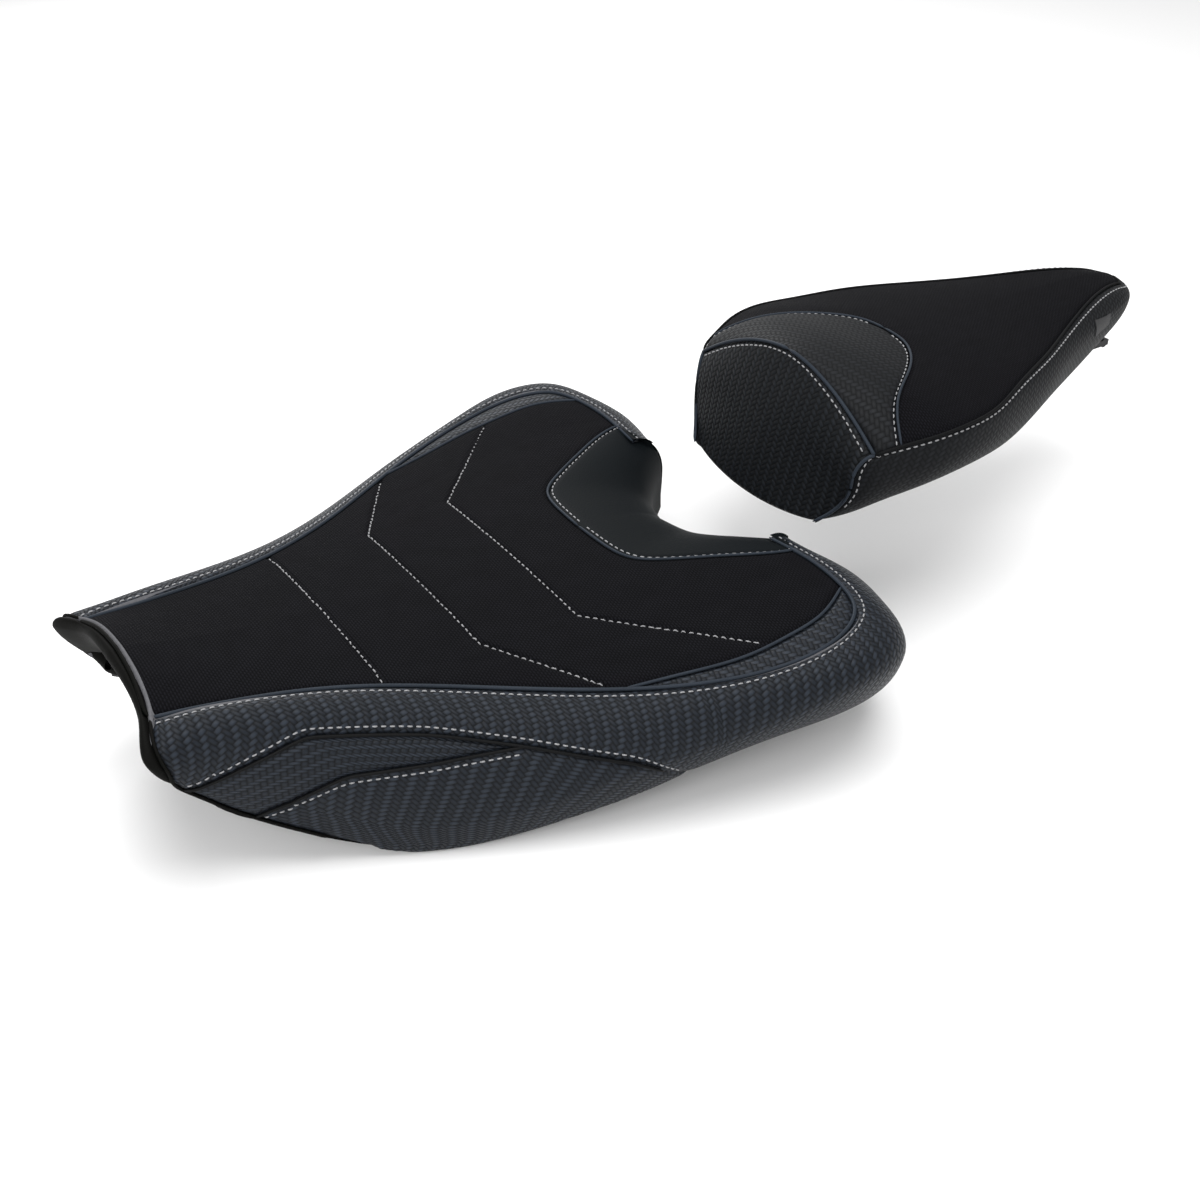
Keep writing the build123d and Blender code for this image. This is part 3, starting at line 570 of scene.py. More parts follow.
def on_wall(points):
    """(s, t) on the rider wall for side-view points (x, z), on the left side."""
    s, t = np.meshgrid(np.linspace(WALL_S[2], WALL_S[11], 500), np.linspace(0, 1.5, 90), indexing="ij")
    p = wall(s, t)
    found = []
    for x, z in points:
        k = np.argmin((p[..., 0] - x) ** 2 + (p[..., 2] - z) ** 2)
        at = np.array([s.flat[k], t.flat[k]])
        for _ in range(6):
            here = wall(at[0:1], at[1:2])[0]
            ds = (wall(at[0:1] + 0.5, at[1:2])[0] - here) / 0.5
            dt = (wall(at[0:1], at[1:2] + 0.01)[0] - here) / 0.01
            jac = np.array([[ds[0], dt[0]], [ds[2], dt[2]]])
            miss = np.array([x - here[0], z - here[2]])
            step = np.linalg.lstsq(jac, miss, rcond=None)[0]
            at = at + np.clip(step, (-3, -0.05), (3, 0.05))
            at[1] = np.clip(at[1], 0.02, 1.49)
        found.append(at)
    return np.array(found)


def side_line(points):
    """A chain drawn straight on the side view, as (s, t) points on the rider wall."""
    return on_wall(evenly(points, 9.0))


def s_at(x, t=1.5):
    """Where the wall's line t passes x, on the left side."""
    s = np.linspace(WALL_S[3], WALL_S[11], 1500)
    return s[np.argmin(np.abs(wall(s, np.full_like(s, t))[:, 0] - x))]


def evenly_st(chain, n):
    """An (s, t) chain resampled to n points that are evenly spaced on the wall."""
    q = lengths(chain * MM_ST)
    t = np.linspace(0, q[-1], n)
    return np.stack([np.interp(t, q, chain[:, k]) for k in (0, 1)], axis=1)


def chain_st(points, n):
    """n points along an (s, t) chain, straight between its barely rounded corners."""
    p = evenly(np.asarray(points, float) * MM_ST, 1.0)
    for _ in range(20):
        p[1:-1] = 0.25 * p[:-2] + 0.5 * p[1:-1] + 0.25 * p[2:]
    return evenly_st(p / MM_ST, n)


def coons(top, bottom, left, right):
    """Patch between four edges; top and bottom run left to right, left and right top to bottom."""
    nu, nv = len(top), len(left)
    u = np.linspace(0, 1, nu)[None, :, None]
    v = np.linspace(0, 1, nv)[:, None, None]
    top, bottom, left, right = (np.asarray(e, float) for e in (top, bottom, left, right))
    return ((1 - v) * top[None] + v * bottom[None] + (1 - u) * left[:, None] + u * right[:, None]
            - (1 - u) * (1 - v) * top[0] - u * (1 - v) * top[-1]
            - (1 - u) * v * bottom[0] - u * v * bottom[-1])


HEM_TURN, HEM_GAP = 12.0, 0.7          # how far the hem turns in below, and how far off the pan


def wall_points(st):
    """Wall points in space, with the hem turned in along the pan's underside past t 1.5."""
    st = np.asarray(st, float)
    s, t = st[..., 0], st[..., 1]
    p = wall(s, np.minimum(t, 1.5))
    part = np.clip(t - 1.5, 0, 0.5) * 2
    run = unit((wall(s + 1, np.full_like(s, 1.5)) - wall(s - 1, np.full_like(s, 1.5)))[..., :2])
    inward = -np.stack([run[..., 1], -run[..., 0]], axis=-1)
    xy = p[..., :2] + inward * (part * HEM_TURN)[..., None]
    under = np.maximum(pan_under(xy[..., 0], xy[..., 1]) - HEM_GAP, p[..., 2])
    blend = np.clip(part * 3, 0, 1)
    z = p[..., 2] * (1 - blend) + under * blend
    return np.concatenate([xy, z[..., None]], axis=-1)


# Chains in (s, t): the strip's edge, which runs on as a lip along the hem, then the band's
# and the wedge's lower edges, both of which start on it.
LIP = 1.43
STRIP_ST = np.array([(S_NOSE, 0), *on_wall([(369, 68), (366, 57)]), (80.0, LIP), (100.0, LIP + 0.01),
                     (160.0, LIP + 0.02), (188.0, 1.5), (196.0, 2.0)])
STRIP_CHAIN = chain_st(STRIP_ST, 600)


def on_strip(st):
    """Index of the strip chain's point nearest to an (s, t) point."""
    return int(np.argmin(np.sum(((STRIP_CHAIN - st) * MM_ST) ** 2, axis=1)))


def along_strip(i, j, n):
    """n even points of the strip's edge between two of its indices."""
    return evenly_st(STRIP_CHAIN[i:j + 1], n)


BAND_ST = np.array([*side_line(BAND_LOW), (s_at(122), 1.5), (s_at(114), 2.0)])
WEDGE_ST = side_line(WEDGE_LOW)
AT_BAND, AT_WEDGE = on_strip(BAND_ST[0]), on_strip(WEDGE_ST[0])
BAND_ST[0], WEDGE_ST[0] = STRIP_CHAIN[AT_BAND], STRIP_CHAIN[AT_WEDGE]
BAND_START, WEDGE_START = BAND_ST[0], WEDGE_ST[0]


def part_of(chain, a, b, n):
    """n points of an (s, t) chain between two s values."""
    line = chain_st(chain, 500)
    rise = np.maximum.accumulate(line[:, 0] + np.arange(500) * 1e-7)
    s = np.linspace(a, b, n)
    return np.stack([s, np.interp(s, rise, line[:, 1])], axis=1)


def even_patch(st, make, step=STEP):
    """Respace a patch so that its rows and columns are about one step apart."""
    p = make(st)
    down = lengths(p[:, p.shape[1] // 2])
    across = [lengths(r) for r in (p[0], p[-1], p[p.shape[0] // 2])]
    wide = max(range(3), key=lambda k: across[k][-1])
    n_down = max(6, int(down[-1] / step))
    n_across = max(6, int(across[wide][-1] / step))
    v = np.interp(np.linspace(0, down[-1], n_down), down, np.arange(len(down)))
    u = np.interp(np.linspace(0, across[wide][-1], n_across), across[wide],
                  np.arange(st.shape[1]))
    i, j = np.clip(v.astype(int), 0, st.shape[0] - 2), np.clip(u.astype(int), 0, st.shape[1] - 2)
    fv, fu = (v - i)[:, None, None], (u - j)[None, :, None]
    corner = [st[np.ix_(i + a, j + b)] for a in (0, 1) for b in (0, 1)]
    return ((1 - fv) * ((1 - fu) * corner[0] + fu * corner[1])
            + fv * ((1 - fu) * corner[2] + fu * corner[3]))


def both(make):
    """Calls make for the left (+1) and the right (-1) side."""
    for side, hand in ((1, "left"), (-1, "right")):
        make(side, hand)


def to_side(p, side):
    """Left-side points taken to the given side."""
    return np.asarray(p, float) * (1, side, 1)


def seam(a, b, n):
    """The seam round the top between two s values, on the left."""
    return wall(np.linspace(a, b, n), np.zeros(n))


BAND_LOW_LINE = wall_points(chain_st(BAND_ST, 400))
WEDGE_LOW_LINE = wall_points(chain_st(WEDGE_ST, 200))
STRIP_LINE = wall_points(chain_st(STRIP_ST, 300))
LOOP = seam(S_NOSE, S_END, 400)
NOSE_TOP = seam(0, S_NOSE, 40)


def offset_in_wall(line, amount):
    """An (s, t) chain moved across the wall by a distance in mm, upwards when negative."""
    line = np.asarray(line, float)
    p = wall_points(line)
    q = wall_points(line + (0, 0.01))
    size = np.linalg.norm(q - p, axis=1) / 0.01
    return line + np.stack([np.zeros(len(line)), amount / size], axis=1)


def twill_grain(p, side):
    """Cloth coordinates over a panel's grid, in mm, mirrored from side to side."""
    rows, cols = p.shape[:2]
    mid = rows // 2
    u = lengths(p[mid])[None, :].repeat(rows, 0)
    down = np.linalg.norm(np.diff(p, axis=0), axis=2)
    v = np.concatenate([np.zeros((1, cols)), np.cumsum(down, axis=0)], axis=0)
    return np.stack([u, v * side, np.zeros((rows, cols))], axis=-1)


def plan_grain(p, side=1):
    """Cloth coordinates of a panel seen from above, in mm, mirrored from side to side."""
    return np.stack([p[..., 0], p[..., 1] * side, np.zeros(p.shape[:2])], axis=-1)


def mirrored(chains):
    """Chains together with their mirror images."""
    return [*chains, *[flip(c) for c in chains]]


def outward_from(p, centre):
    """Directions away from a centre, for choosing which way a panel faces."""
    return p - np.asarray(centre, float)


# ------------------------------------------------------------------ rider seat: walls
CENTRE, UPWARD = (150, 0, 30), (0, 0, 1)
BAND_STITCH = offset_in_wall([(s, 0.0) for s in np.linspace(S_NOSE + 4, S_END - 2, 400)], 5.0)
LOW_STITCH = offset_in_wall(part_of(BAND_ST, BAND_START[0] + 5, s_at(132), 300), -4.5)
WEDGE_STITCH = offset_in_wall(part_of(WEDGE_ST, WEDGE_START[0] + 4, WEDGE_ST[-1][0] - 3, 200), 3.5)


def side_panel(part, side, hand, patch, seams, stitches, turn, puff=PUFF):
    """One twill panel of the rider seat's side, from a patch of (s, t) points."""
    rest = wall_points(even_patch(patch, wall_points))
    p = to_side(rest, side)
    panel(f"rider_{part}_{hand}", p, outward_from(p, CENTRE), [to_side(c, side) for c in seams],
          [to_side(wall_points(c), side) for c in stitches], twill_grain(rest, side),
          side * turn, puff, slot="twill_vinyl", material=TWILL)


def side_panels(side, hand):
    """Band, wedge and skirt on one side of the rider seat."""
    n, rows = 300, 60
    s_w = WEDGE_ST[-1][0]
    band = coons(np.stack([np.linspace(S_NOSE, S_END, n), np.zeros(n)], axis=1),
                 np.concatenate([part_of(BAND_ST, BAND_ST[0][0], BAND_ST[-1][0], 170),
                                 np.stack([np.linspace(BAND_ST[-1][0] + 1, S_END, n - 170),
                                           np.full(n - 170, 2.0)], axis=1)]),
                 along_strip(0, AT_BAND, rows),
                 np.stack([np.full(rows, S_END), np.linspace(0, 2, rows)], axis=1))
    side_panel("band", side, hand, band, [LOOP, STRIP_LINE[:150], BAND_LOW_LINE],
               [BAND_STITCH, LOW_STITCH], 0.5)
    low_seams = [BAND_LOW_LINE, WEDGE_LOW_LINE, STRIP_LINE]
    wedge = coons(part_of(BAND_ST, BAND_START[0], s_w, n), part_of(WEDGE_ST, WEDGE_START[0], s_w, n),
                  along_strip(AT_BAND, AT_WEDGE, 30),
                  np.tile(WEDGE_ST[-1], (30, 1)))
    side_panel("wedge", side, hand, wedge, low_seams, [], -0.75, 0.6)
    top = np.concatenate([part_of(WEDGE_ST, WEDGE_START[0], s_w, 150),
                          part_of(BAND_ST, s_w + 0.5, BAND_ST[-1][0], n - 150)])
    bottom = np.stack([np.linspace(STRIP_ST[-1][0], BAND_ST[-1][0], n), np.full(n, 2.0)], axis=1)
    skirt = coons(top, bottom, along_strip(AT_WEDGE, len(STRIP_CHAIN) - 1, 50),
                  np.tile(BAND_ST[-1], (50, 1)))
    side_panel("skirt", side, hand, skirt, low_seams, [WEDGE_STITCH], 0.15, 0.6)


both(side_panels)


def front_strip():
    """The strip round the front of the nose."""
    edge = along_strip(0, len(STRIP_CHAIN) - 1, 110)
    f = np.linspace(-1, 1, 140)
    st = np.stack([np.abs(f)[None, :] * edge[:, None, 0], np.repeat(edge[:, 1:2], 140, 1)], axis=-1)
    p = wall_points(st) * np.stack([np.ones(140), np.sign(f), np.ones(140)], axis=-1)[None]
    panel("rider_front_strip", p, outward_from(p, (300, 0, 40)),
          mirrored([NOSE_TOP, STRIP_LINE]), slot="smooth_vinyl", material=STRIP)


front_strip()

# ------------------------------------------------------------------ rider seat: top
def s_of_seam(x, y):
    """Where the top seam passes closest to a plan point."""
    s = np.linspace(0, S_END, 3000)
    p = seam(0, S_END, 3000)
    return s[np.argmin((p[:, 0] - x) ** 2 + (p[:, 1] - y) ** 2)]


S_TIP, S_TAIL, S_INNER = s_of_seam(152, 131), s_of_seam(10, 131), s_of_seam(8, 88)


def on_plan(xy):
    """A plan chain with no height above the top's surface."""
    xy = np.asarray(xy, float)
    return np.concatenate([xy, np.zeros((len(xy), 1))], axis=1)


def residual(p, height=top_z):
    """Points in space as plan points and their height above a surface."""
    return np.stack([p[:, 0], p[:, 1], p[:, 2] - height(p[:, 0], p[:, 1])], axis=1)


def from_residual(g, height=top_z):
    """Back from plan and height above the surface to points in space."""
    out = np.array(g, float)
    out[..., 2] += height(out[..., 0], out[..., 1])
    return out


CRESCENT_RES = on_plan(smooth([seam(S_TIP, S_TIP, 1)[0, :2], *CRESCENT[1:-1],
                               seam(S_TAIL, S_TAIL, 1)[0, :2]], 200))
CRESCENT_LINE = from_residual(CRESCENT_RES)
NOTCH_RES = on_plan(smooth([seam(S_INNER, S_INNER, 1)[0, :2], *NOTCH_SEAM[1:]], 200))
NOTCH_LINE = from_residual(NOTCH_RES)
QUILT = mirrored([on_top(evenly(c, 2.0)) for c in CHEVRONS])
QUILT_DEEP = 1.7                       # how far a quilted line pulls the top in


def rider_top():
    """The grip-fabric top with its three quilted chevrons."""
    n_out, n_in = 240, 110
    outer = np.concatenate([residual(seam(S_NOSE, S_TIP, 120)), CRESCENT_RES[1:]])
    outer = evenly(outer, 1.0)
    outer = smooth(outer[::8], n_out)
    front = residual(seam(0, S_NOSE, n_in))
    rear = np.concatenate([NOTCH_RES[::-1], residual(seam(S_INNER, S_TAIL, 60))[1:]])
    rear = smooth(evenly(rear, 1.0)[::4], n_in)
    rear[0], outer[0] = NOTCH_RES[-1], front[-1]
    rear[-1] = outer[-1] = CRESCENT_RES[-1]
    middle = np.stack([np.linspace(front[0, 0], rear[0, 0], n_out), np.zeros(n_out),
                       np.linspace(front[0, 2], 0, n_out)], axis=1)
    patch = coons(middle, outer, front, rear)          # rows: centre to outside
    half = from_residual(even_patch(patch, from_residual))
    whole = np.concatenate([flip(half[:0:-1]), half])
    seams = mirrored([LOOP, NOSE_TOP, CRESCENT_LINE, NOTCH_LINE])
    panel("rider_top_panel", whole, UPWARD, seams, QUILT, plan_grain(whole), deep=QUILT_DEEP,
          slot="ribbed_fabric", material=RIBBED)


rider_top()


def crescent(side, hand):
    """The twill panel on the hip, between its inner seam and the seam round the top."""
    n = 200
    inner = smooth(CRESCENT_RES[::10], n)
    inner[-1] = CRESCENT_RES[-1]
    outer = residual(seam(S_TIP, S_TAIL, n))
    f = np.linspace(0, 1, 50)[:, None, None]
    p = from_residual(even_patch((1 - f) * inner[None] + f * outer[None], from_residual))
    grain, p = plan_grain(p, side), to_side(p, side)
    panel(f"rider_hip_crescent_{hand}", p, UPWARD,
          [to_side(CRESCENT_LINE, side), to_side(LOOP, side)], [],
          grain, side * 0.35, puff=0.8, slot="twill_vinyl", material=TWILL)


both(crescent)


NOTCH_ROLL = 0.84                      # how round the edge is, 1 being a quarter ellipse
NOTCH_WIDEST, NOTCH_HEM = 36.0, 9.5    # heights
NOTCH_STITCH = [c + (-3.2, 0, 0) for c in (NOTCH_LINE, flip(NOTCH_LINE))]


def notch_panel():
    """Smooth vinyl behind the top, rolled over the notch's edge and turned in below."""
    n = 150
    seam_line = np.concatenate([NOTCH_LINE[::-1], seam(S_INNER, S_END, 20)[1:]])
    edge = smooth(NOTCH_EDGE[::-1], n)
    seam_line = smooth(evenly(seam_line, 1.0)[::5], n)
    seam_line[-1], side_point = wall_points([(S_END, 0.0), (S_END, 1.0)])
    edge[-1] = side_point[:2]
    t = np.linspace(0, 2, 120)              # 0 at the seam, 1 on the edge, 1.5 down at the hem
    a = np.clip(t, 0, 1) * np.pi / 2
    across, fall = np.sin(a) ** NOTCH_ROLL, 1 - np.maximum(np.cos(a), 0) ** NOTCH_ROLL
    p = np.zeros((len(t), n, 3))
    for k, w in enumerate(t):
        p[k, :, :2] = seam_line[:, :2] + (edge - seam_line[:, :2]) * across[k]
        top = seam_line[:, 2] - 1.5 * across[k]
        p[k, :, 2] = top + (NOTCH_WIDEST - seam_line[:, 2] + 1.5) * fall[k]
        if w > 1:
            p[k, :, 2] = NOTCH_WIDEST - (NOTCH_WIDEST - NOTCH_HEM) * min(1, (w - 1) * 2)
        if w > 1.5:
            turned = (w - 1.5) * 2
            p[k, :, 0] += 11 * turned
            p[k, :, 2] = NOTCH_HEM + 2.5 * min(1, 2 * turned)
    whole = even_patch(np.concatenate([flip(p[:, :0:-1]), p], axis=1), lambda q: q)
    corner = wall_points([(S_END, v) for v in np.linspace(0, 1.5, 40)])
    panel("rider_notch_panel", whole, outward_from(whole, (110, 0, 10)),
          mirrored([NOTCH_LINE, LOOP[-60:], corner]), NOTCH_STITCH, puff=0.7,
          slot="smooth_vinyl", material=VINYL)


notch_panel()

# ------------------------------------------------------------------ passenger seat
P_SEAM = [(-54, 81, 102), (-58.5, 84.5, 104.5), (-69, 89, 107.5)]
P_WIDE = [(-44.5, 74, 84), (-54, 82, 89), (-69, 90, 95)]
P_HEM = [(-32, 58, 54), (-48, 65, 57), (-69, 71, 62)]
P_TAIL = [((-334, 9, 115.5), (-339, 13, 109), (-338, 12, 103)),
          ((-336.5, 0, 116), (-343, 0, 109.5), (-341.5, 0, 103.5))]
P_ROWS = [np.r_[s, w, h] for s, w, h in zip(P_SEAM, P_WIDE, P_HEM)]
P_ROWS += [np.array([r[0], r[1], r[2], r[0], r[3], r[4], r[0], r[5], r[6]]) for r in PASSENGER[2:-1]]
P_ROWS = np.array(P_ROWS + [np.concatenate(t) for t in P_TAIL])
P_S = lengths(P_ROWS[:, 3:6])


def side_wall(s, t):
    """Point of the passenger seat's side, turned in below from t 1.5 to 2."""
    row = spline(P_S, P_ROWS, s)
    p = section(row, t, 0.8, 0.0, 0.55)
    p[..., 1] -= np.clip((t - 1.5) * 2, 0, 1) * np.minimum(10, 0.9 * np.abs(row[..., 7]))
    return p


FACE_FOOT_X, FACE_FOOT_Z, FACE_FOOT_HALF = -29.5, 54.0, 58.0
FACE_LEAN, FACE_SWEEP = 25 / 81, 9.0   # back per mm of height, and back at the sides


def face_x(y, z):
    """The passenger seat's front face leans back and sweeps back at its sides."""
    return FACE_FOOT_X - FACE_LEAN * (z - FACE_FOOT_Z) - FACE_SWEEP * (np.abs(y) / ARCH_HALF) ** 2


def arch(n):
    """Upper edge of the front face, from the middle to the left end."""
    y = ARCH_HALF * np.sin(np.linspace(0, np.pi / 2, n))
    z = ARCH_LOW + (ARCH_TOP - ARCH_LOW) * (1 - (y / ARCH_HALF) ** 1.85)
    return np.stack([face_x(y, z), y, z], axis=1)


def p_residual(p):
    """Points as plan points and their height above the passenger seat's top."""
    return residual(p, passenger_top)


def p_from(g):
    """Back from plan and height above the passenger seat's top to points in space."""
    return from_residual(g, passenger_top)


P_LOOK = {"body": "passenger_seat"}
ARCH = arch(120)
FACE_SIDE = np.array([side_wall(np.zeros(1), np.array([t]))[0] for t in np.linspace(1.5, 0, 60)])
ARCH[-1] = FACE_SIDE[-1]
S_SADDLE = P_S[np.argmin(np.abs(P_ROWS[:, 0] + 69))] - 3.0
P_SEAM_LINE = side_wall(np.linspace(0, P_S[-1], 300), np.zeros(300))
SADDLE_START = side_wall(np.array([S_SADDLE]), np.zeros(1))[0]
SADDLE_RES = smooth([tuple(SADDLE_START[:2]) + (p_residual(SADDLE_START[None])[0, 2],),
                     *[(x, y, 0) for x, y in SADDLE[2:]]], 160)
SADDLE_LINE = p_from(SADDLE_RES)


def halves(half):
    """A left-half grid (columns from the middle out) with its mirror image."""
    return np.concatenate([flip(half[:, :0:-1]), half], axis=1)


def front_face():
    """The twill panel across the front of the passenger seat."""
    n, rows = 70, 90
    y = np.linspace(0, FACE_FOOT_HALF, n)
    low = FACE_FOOT_Z - 5.0 * (1 - (y / FACE_FOOT_HALF) ** 2)
    foot = np.stack([face_x(y, low), y, low], axis=1)
    foot[-1] = FACE_SIDE[0]
    up = np.linspace(low[0], ARCH_TOP, rows)
    mid = np.stack([face_x(0 * up, up), 0 * up, up], axis=1)
    mid[-1] = ARCH[0]
    half = coons(smooth(ARCH[::4], n), foot, mid[::-1], smooth(FACE_SIDE[::3], rows)[::-1])
    half[..., 0] += 2.0 * np.sin(np.linspace(0, np.pi, rows))[:, None]
    turned = np.stack([half[-1] + (-d, 0, -0.6 * min(1, d)) for d in (1.0, 3, 6, 9)])
    whole = halves(np.concatenate([half, turned]))
    whole = even_patch(whole, lambda q: q)
    grain = plan_grain(whole[..., 1:] * (1, 1.05))   # this panel stands, so its y and z
    panel("passenger_front_panel", whole, outward_from(whole, (-120, 0, 90)),
          mirrored([ARCH, FACE_SIDE]), [], grain, math.pi / 4, puff=0.8,
          slot="twill_vinyl", material=TWILL_FACE, **P_LOOK)


def saddle_band():
    """The band over the seat behind the face."""
    n, rows = 150, 40
    rear = smooth(SADDLE_RES[::8][::-1], n)
    front = p_residual(smooth(ARCH[::4], n))
    start = p_residual(side_wall(np.linspace(0, S_SADDLE, rows), np.zeros(rows)))
    mid = np.stack([np.linspace(front[0, 0], rear[0, 0], rows), np.zeros(rows),
                    np.linspace(front[0, 2], 0, rows)], axis=1)
    half = p_from(even_patch(coons(front, rear, mid, start), p_from))
    whole = halves(half)
    seams = mirrored([ARCH, SADDLE_LINE, P_SEAM_LINE[:60]])
    panel("passenger_saddle_band", whole, UPWARD, seams,
          mirrored([SADDLE_STITCH]), plan_grain(whole), 0.5, puff=0.7, slot="twill_vinyl",
          material=TWILL_SOFT, **P_LOOK)


def passenger_top_panel():
    """The grip-fabric top of the passenger seat."""
    n, rows = 80, 170
    front = smooth(SADDLE_RES[::8][::-1], n)
    side = p_residual(side_wall(np.linspace(S_SADDLE, P_S[-2], rows), np.zeros(rows)))
    rear = p_residual(side_wall(np.linspace(P_S[-1], P_S[-2], n), np.zeros(n)))
    mid = np.stack([np.linspace(front[0, 0], rear[0, 0], rows), np.zeros(rows),
                    np.linspace(0, 1, rows) ** 6 * rear[0, 2]], axis=1)
    half = p_from(even_patch(coons(front, rear, mid, side), p_from))
    whole = halves(half)
    seams = mirrored([SADDLE_LINE, P_SEAM_LINE])
    panel("passenger_top_panel", whole, UPWARD, seams, [],
          plan_grain(whole), slot="ribbed_fabric", material=RIBBED, **P_LOOK)


def passenger_side(side, hand):
    """The band down one side of the passenger seat and round to the tail's middle."""
    s, t = np.meshgrid(np.linspace(0, P_S[-1], 300), np.linspace(0, 2, 60), indexing="xy")
    st = even_patch(np.stack([s, t], axis=-1), lambda q: side_wall(q[..., 0], q[..., 1]))
    rest = side_wall(st[..., 0], st[..., 1])
    p = to_side(rest, side)
    panel(f"passenger_side_panel_{hand}", p, outward_from(p, (-170, 0, 105)),
          [to_side(c, side) for c in (P_SEAM_LINE, FACE_SIDE)],
          [to_side(side_wall(SIDE_STITCH_S, SIDE_STITCH_T), side)], twill_grain(rest, side),
          side * 0.5, puff=0.7, slot="twill_vinyl", material=TWILL_SOFT, **P_LOOK)


SADDLE_STITCH = p_from(smooth(SADDLE_RES[::8], 160) + (3.5, 1.5, 0))
SIDE_STITCH_S = np.linspace(6, P_S[-2] - 2, 300)
SIDE_STITCH_T = 4.5 / np.maximum(6, np.linalg.norm(
    side_wall(SIDE_STITCH_S, np.full(300, 1.0)) - side_wall(SIDE_STITCH_S, np.zeros(300)), axis=1))
SIDE_STITCH_T = np.minimum(SIDE_STITCH_T, 0.55)
front_face()
saddle_band()
passenger_top_panel()
both(passenger_side)

# ------------------------------------------------------------------ foam under the covers
def foam(node, body, shrink):
    """A CAD foam pad as one rounded block, a little smaller than the cover around it."""
    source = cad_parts[node]
    mesh = source.data.copy()
    piece = bpy.data.objects.new(node, mesh)
    bpy.context.scene.collection.objects.link(piece)
    bpy.context.view_layer.objects.active = piece
    voxel = piece.modifiers.new("one_skin", "REMESH")
    voxel.mode, voxel.voxel_size = "VOXEL", 0.004
    soft = piece.modifiers.new("round", "SMOOTH")
    soft.factor, soft.iterations = 0.6, 6
    less = piece.modifiers.new("under_cover", "DISPLACE")
    less.strength, less.mid_level = -shrink, 0.0
    bpy.context.view_layer.update()
    done = bpy.data.meshes.new_from_object(piece.evaluated_get(bpy.context.evaluated_depsgraph_get()))
    piece.modifiers.clear()
    piece.data = done
    done.materials.clear()
    done.materials.append(FOAM)
    done.shade_smooth()
    piece.name = f"{node}_block"
    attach(piece, body)
    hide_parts(node)


def rider_foam(inset=4.0):
    """The rider seat's foam: the cover's own shape, a little smaller, closed below."""
    loops = []
    edge = smooth(NOTCH_EDGE[::-1], 40)
    for t in np.linspace(0.15, 1.45, 12):
        side = wall(np.linspace(0, S_END, 260), np.full(260, t))
        height = np.interp(t, (0.15, 1.0, 1.45), (side[-1, 2] - 24, 32, 12))
        x = edge[:, 0] + 5 + 14 * max(0.0, 1 - t)
        back = np.stack([x, edge[:, 1], np.full(40, height)], axis=1)[::-1]
        half = np.concatenate([side, back[2:]])
        loops.append(np.concatenate([half, flip(half)[-2:0:-1]]))
    loops = np.array(loops)
    run = unit((np.roll(loops, -2, axis=1) - np.roll(loops, 2, axis=1))[..., :2])
    loops[..., 0] -= inset * run[..., 1]
    loops[..., 1] += inset * run[..., 0]
    middle = np.array((150.0, 0.0))
    rim = np.concatenate([edge, edge * (1, -1)])
    caps = []
    for k in np.linspace(0.02, 0.985, 16):
        xy = middle + (loops[0, :, :2] - middle) * k
        gap = near(np.c_[xy, np.zeros(len(xy))], [np.c_[rim, np.zeros(len(rim))]])
        z = top_z(xy[:, 0], xy[:, 1]) - inset - 22 * np.exp(-(gap / 24) ** 2)
        caps.append(np.concatenate([xy, z[:, None]], axis=1))
    base = []
    for k in np.linspace(0.96, 0.02, 10):
        xy = middle + (loops[-1, :, :2] - middle) * k
        z = np.maximum(pan_under(xy[:, 0], xy[:, 1]) + PAN + 0.5, k * loops[-1, :, 2] + (1 - k) * 35)
        z = np.minimum(z, top_z(xy[:, 0], xy[:, 1]) - 8)
        base.append(np.concatenate([xy, z[:, None]], axis=1))
    rings = np.concatenate([caps, loops, base])
    piece = build("rider_foam_core", rings.reshape(-1, 3), ring_faces(*rings.shape[:2]),
                  slot="foam", material=FOAM)
    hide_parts("rider_foam_pad")


rider_foam()
foam("passenger_foam_pad", "passenger_seat", 0.0022)

# ------------------------------------------------------------------ piping and stitches
def rider_seams(side, hand):
    """Piping and stitches on one side of the rider seat."""
    band, skirt, wedge = (f"rider_{p}_{hand}" for p in ("band", "skirt", "wedge"))
    at = lambda c: to_side(c, side)
    tube(f"rider_band_piping_{hand}", [at(LOOP)], 1.1, PIPING_HIGHLIGHT)
    tube(f"rider_crescent_piping_{hand}", [at(CRESCENT_LINE)], 0.9, PIPING_HIGHLIGHT)
    tube(f"rider_band_low_piping_{hand}", [at(BAND_LOW_LINE[:330])], 0.9, TWILL, slot="twill_vinyl")
    tube(f"rider_wedge_low_piping_{hand}", [at(WEDGE_LOW_LINE)], 0.9, TWILL, slot="twill_vinyl")
    tube(f"rider_strip_piping_{hand}", [at(STRIP_LINE[:230])], 0.9, STRIP)
    thread_run(f"rider_band_stitches_{hand}", [at(wall_points(BAND_STITCH))], [band])
    thread_run(f"rider_band_low_stitches_{hand}", [at(wall_points(LOW_STITCH))], [band])
    thread_run(f"rider_wedge_stitches_{hand}", [at(wall_points(WEDGE_STITCH))], [skirt])


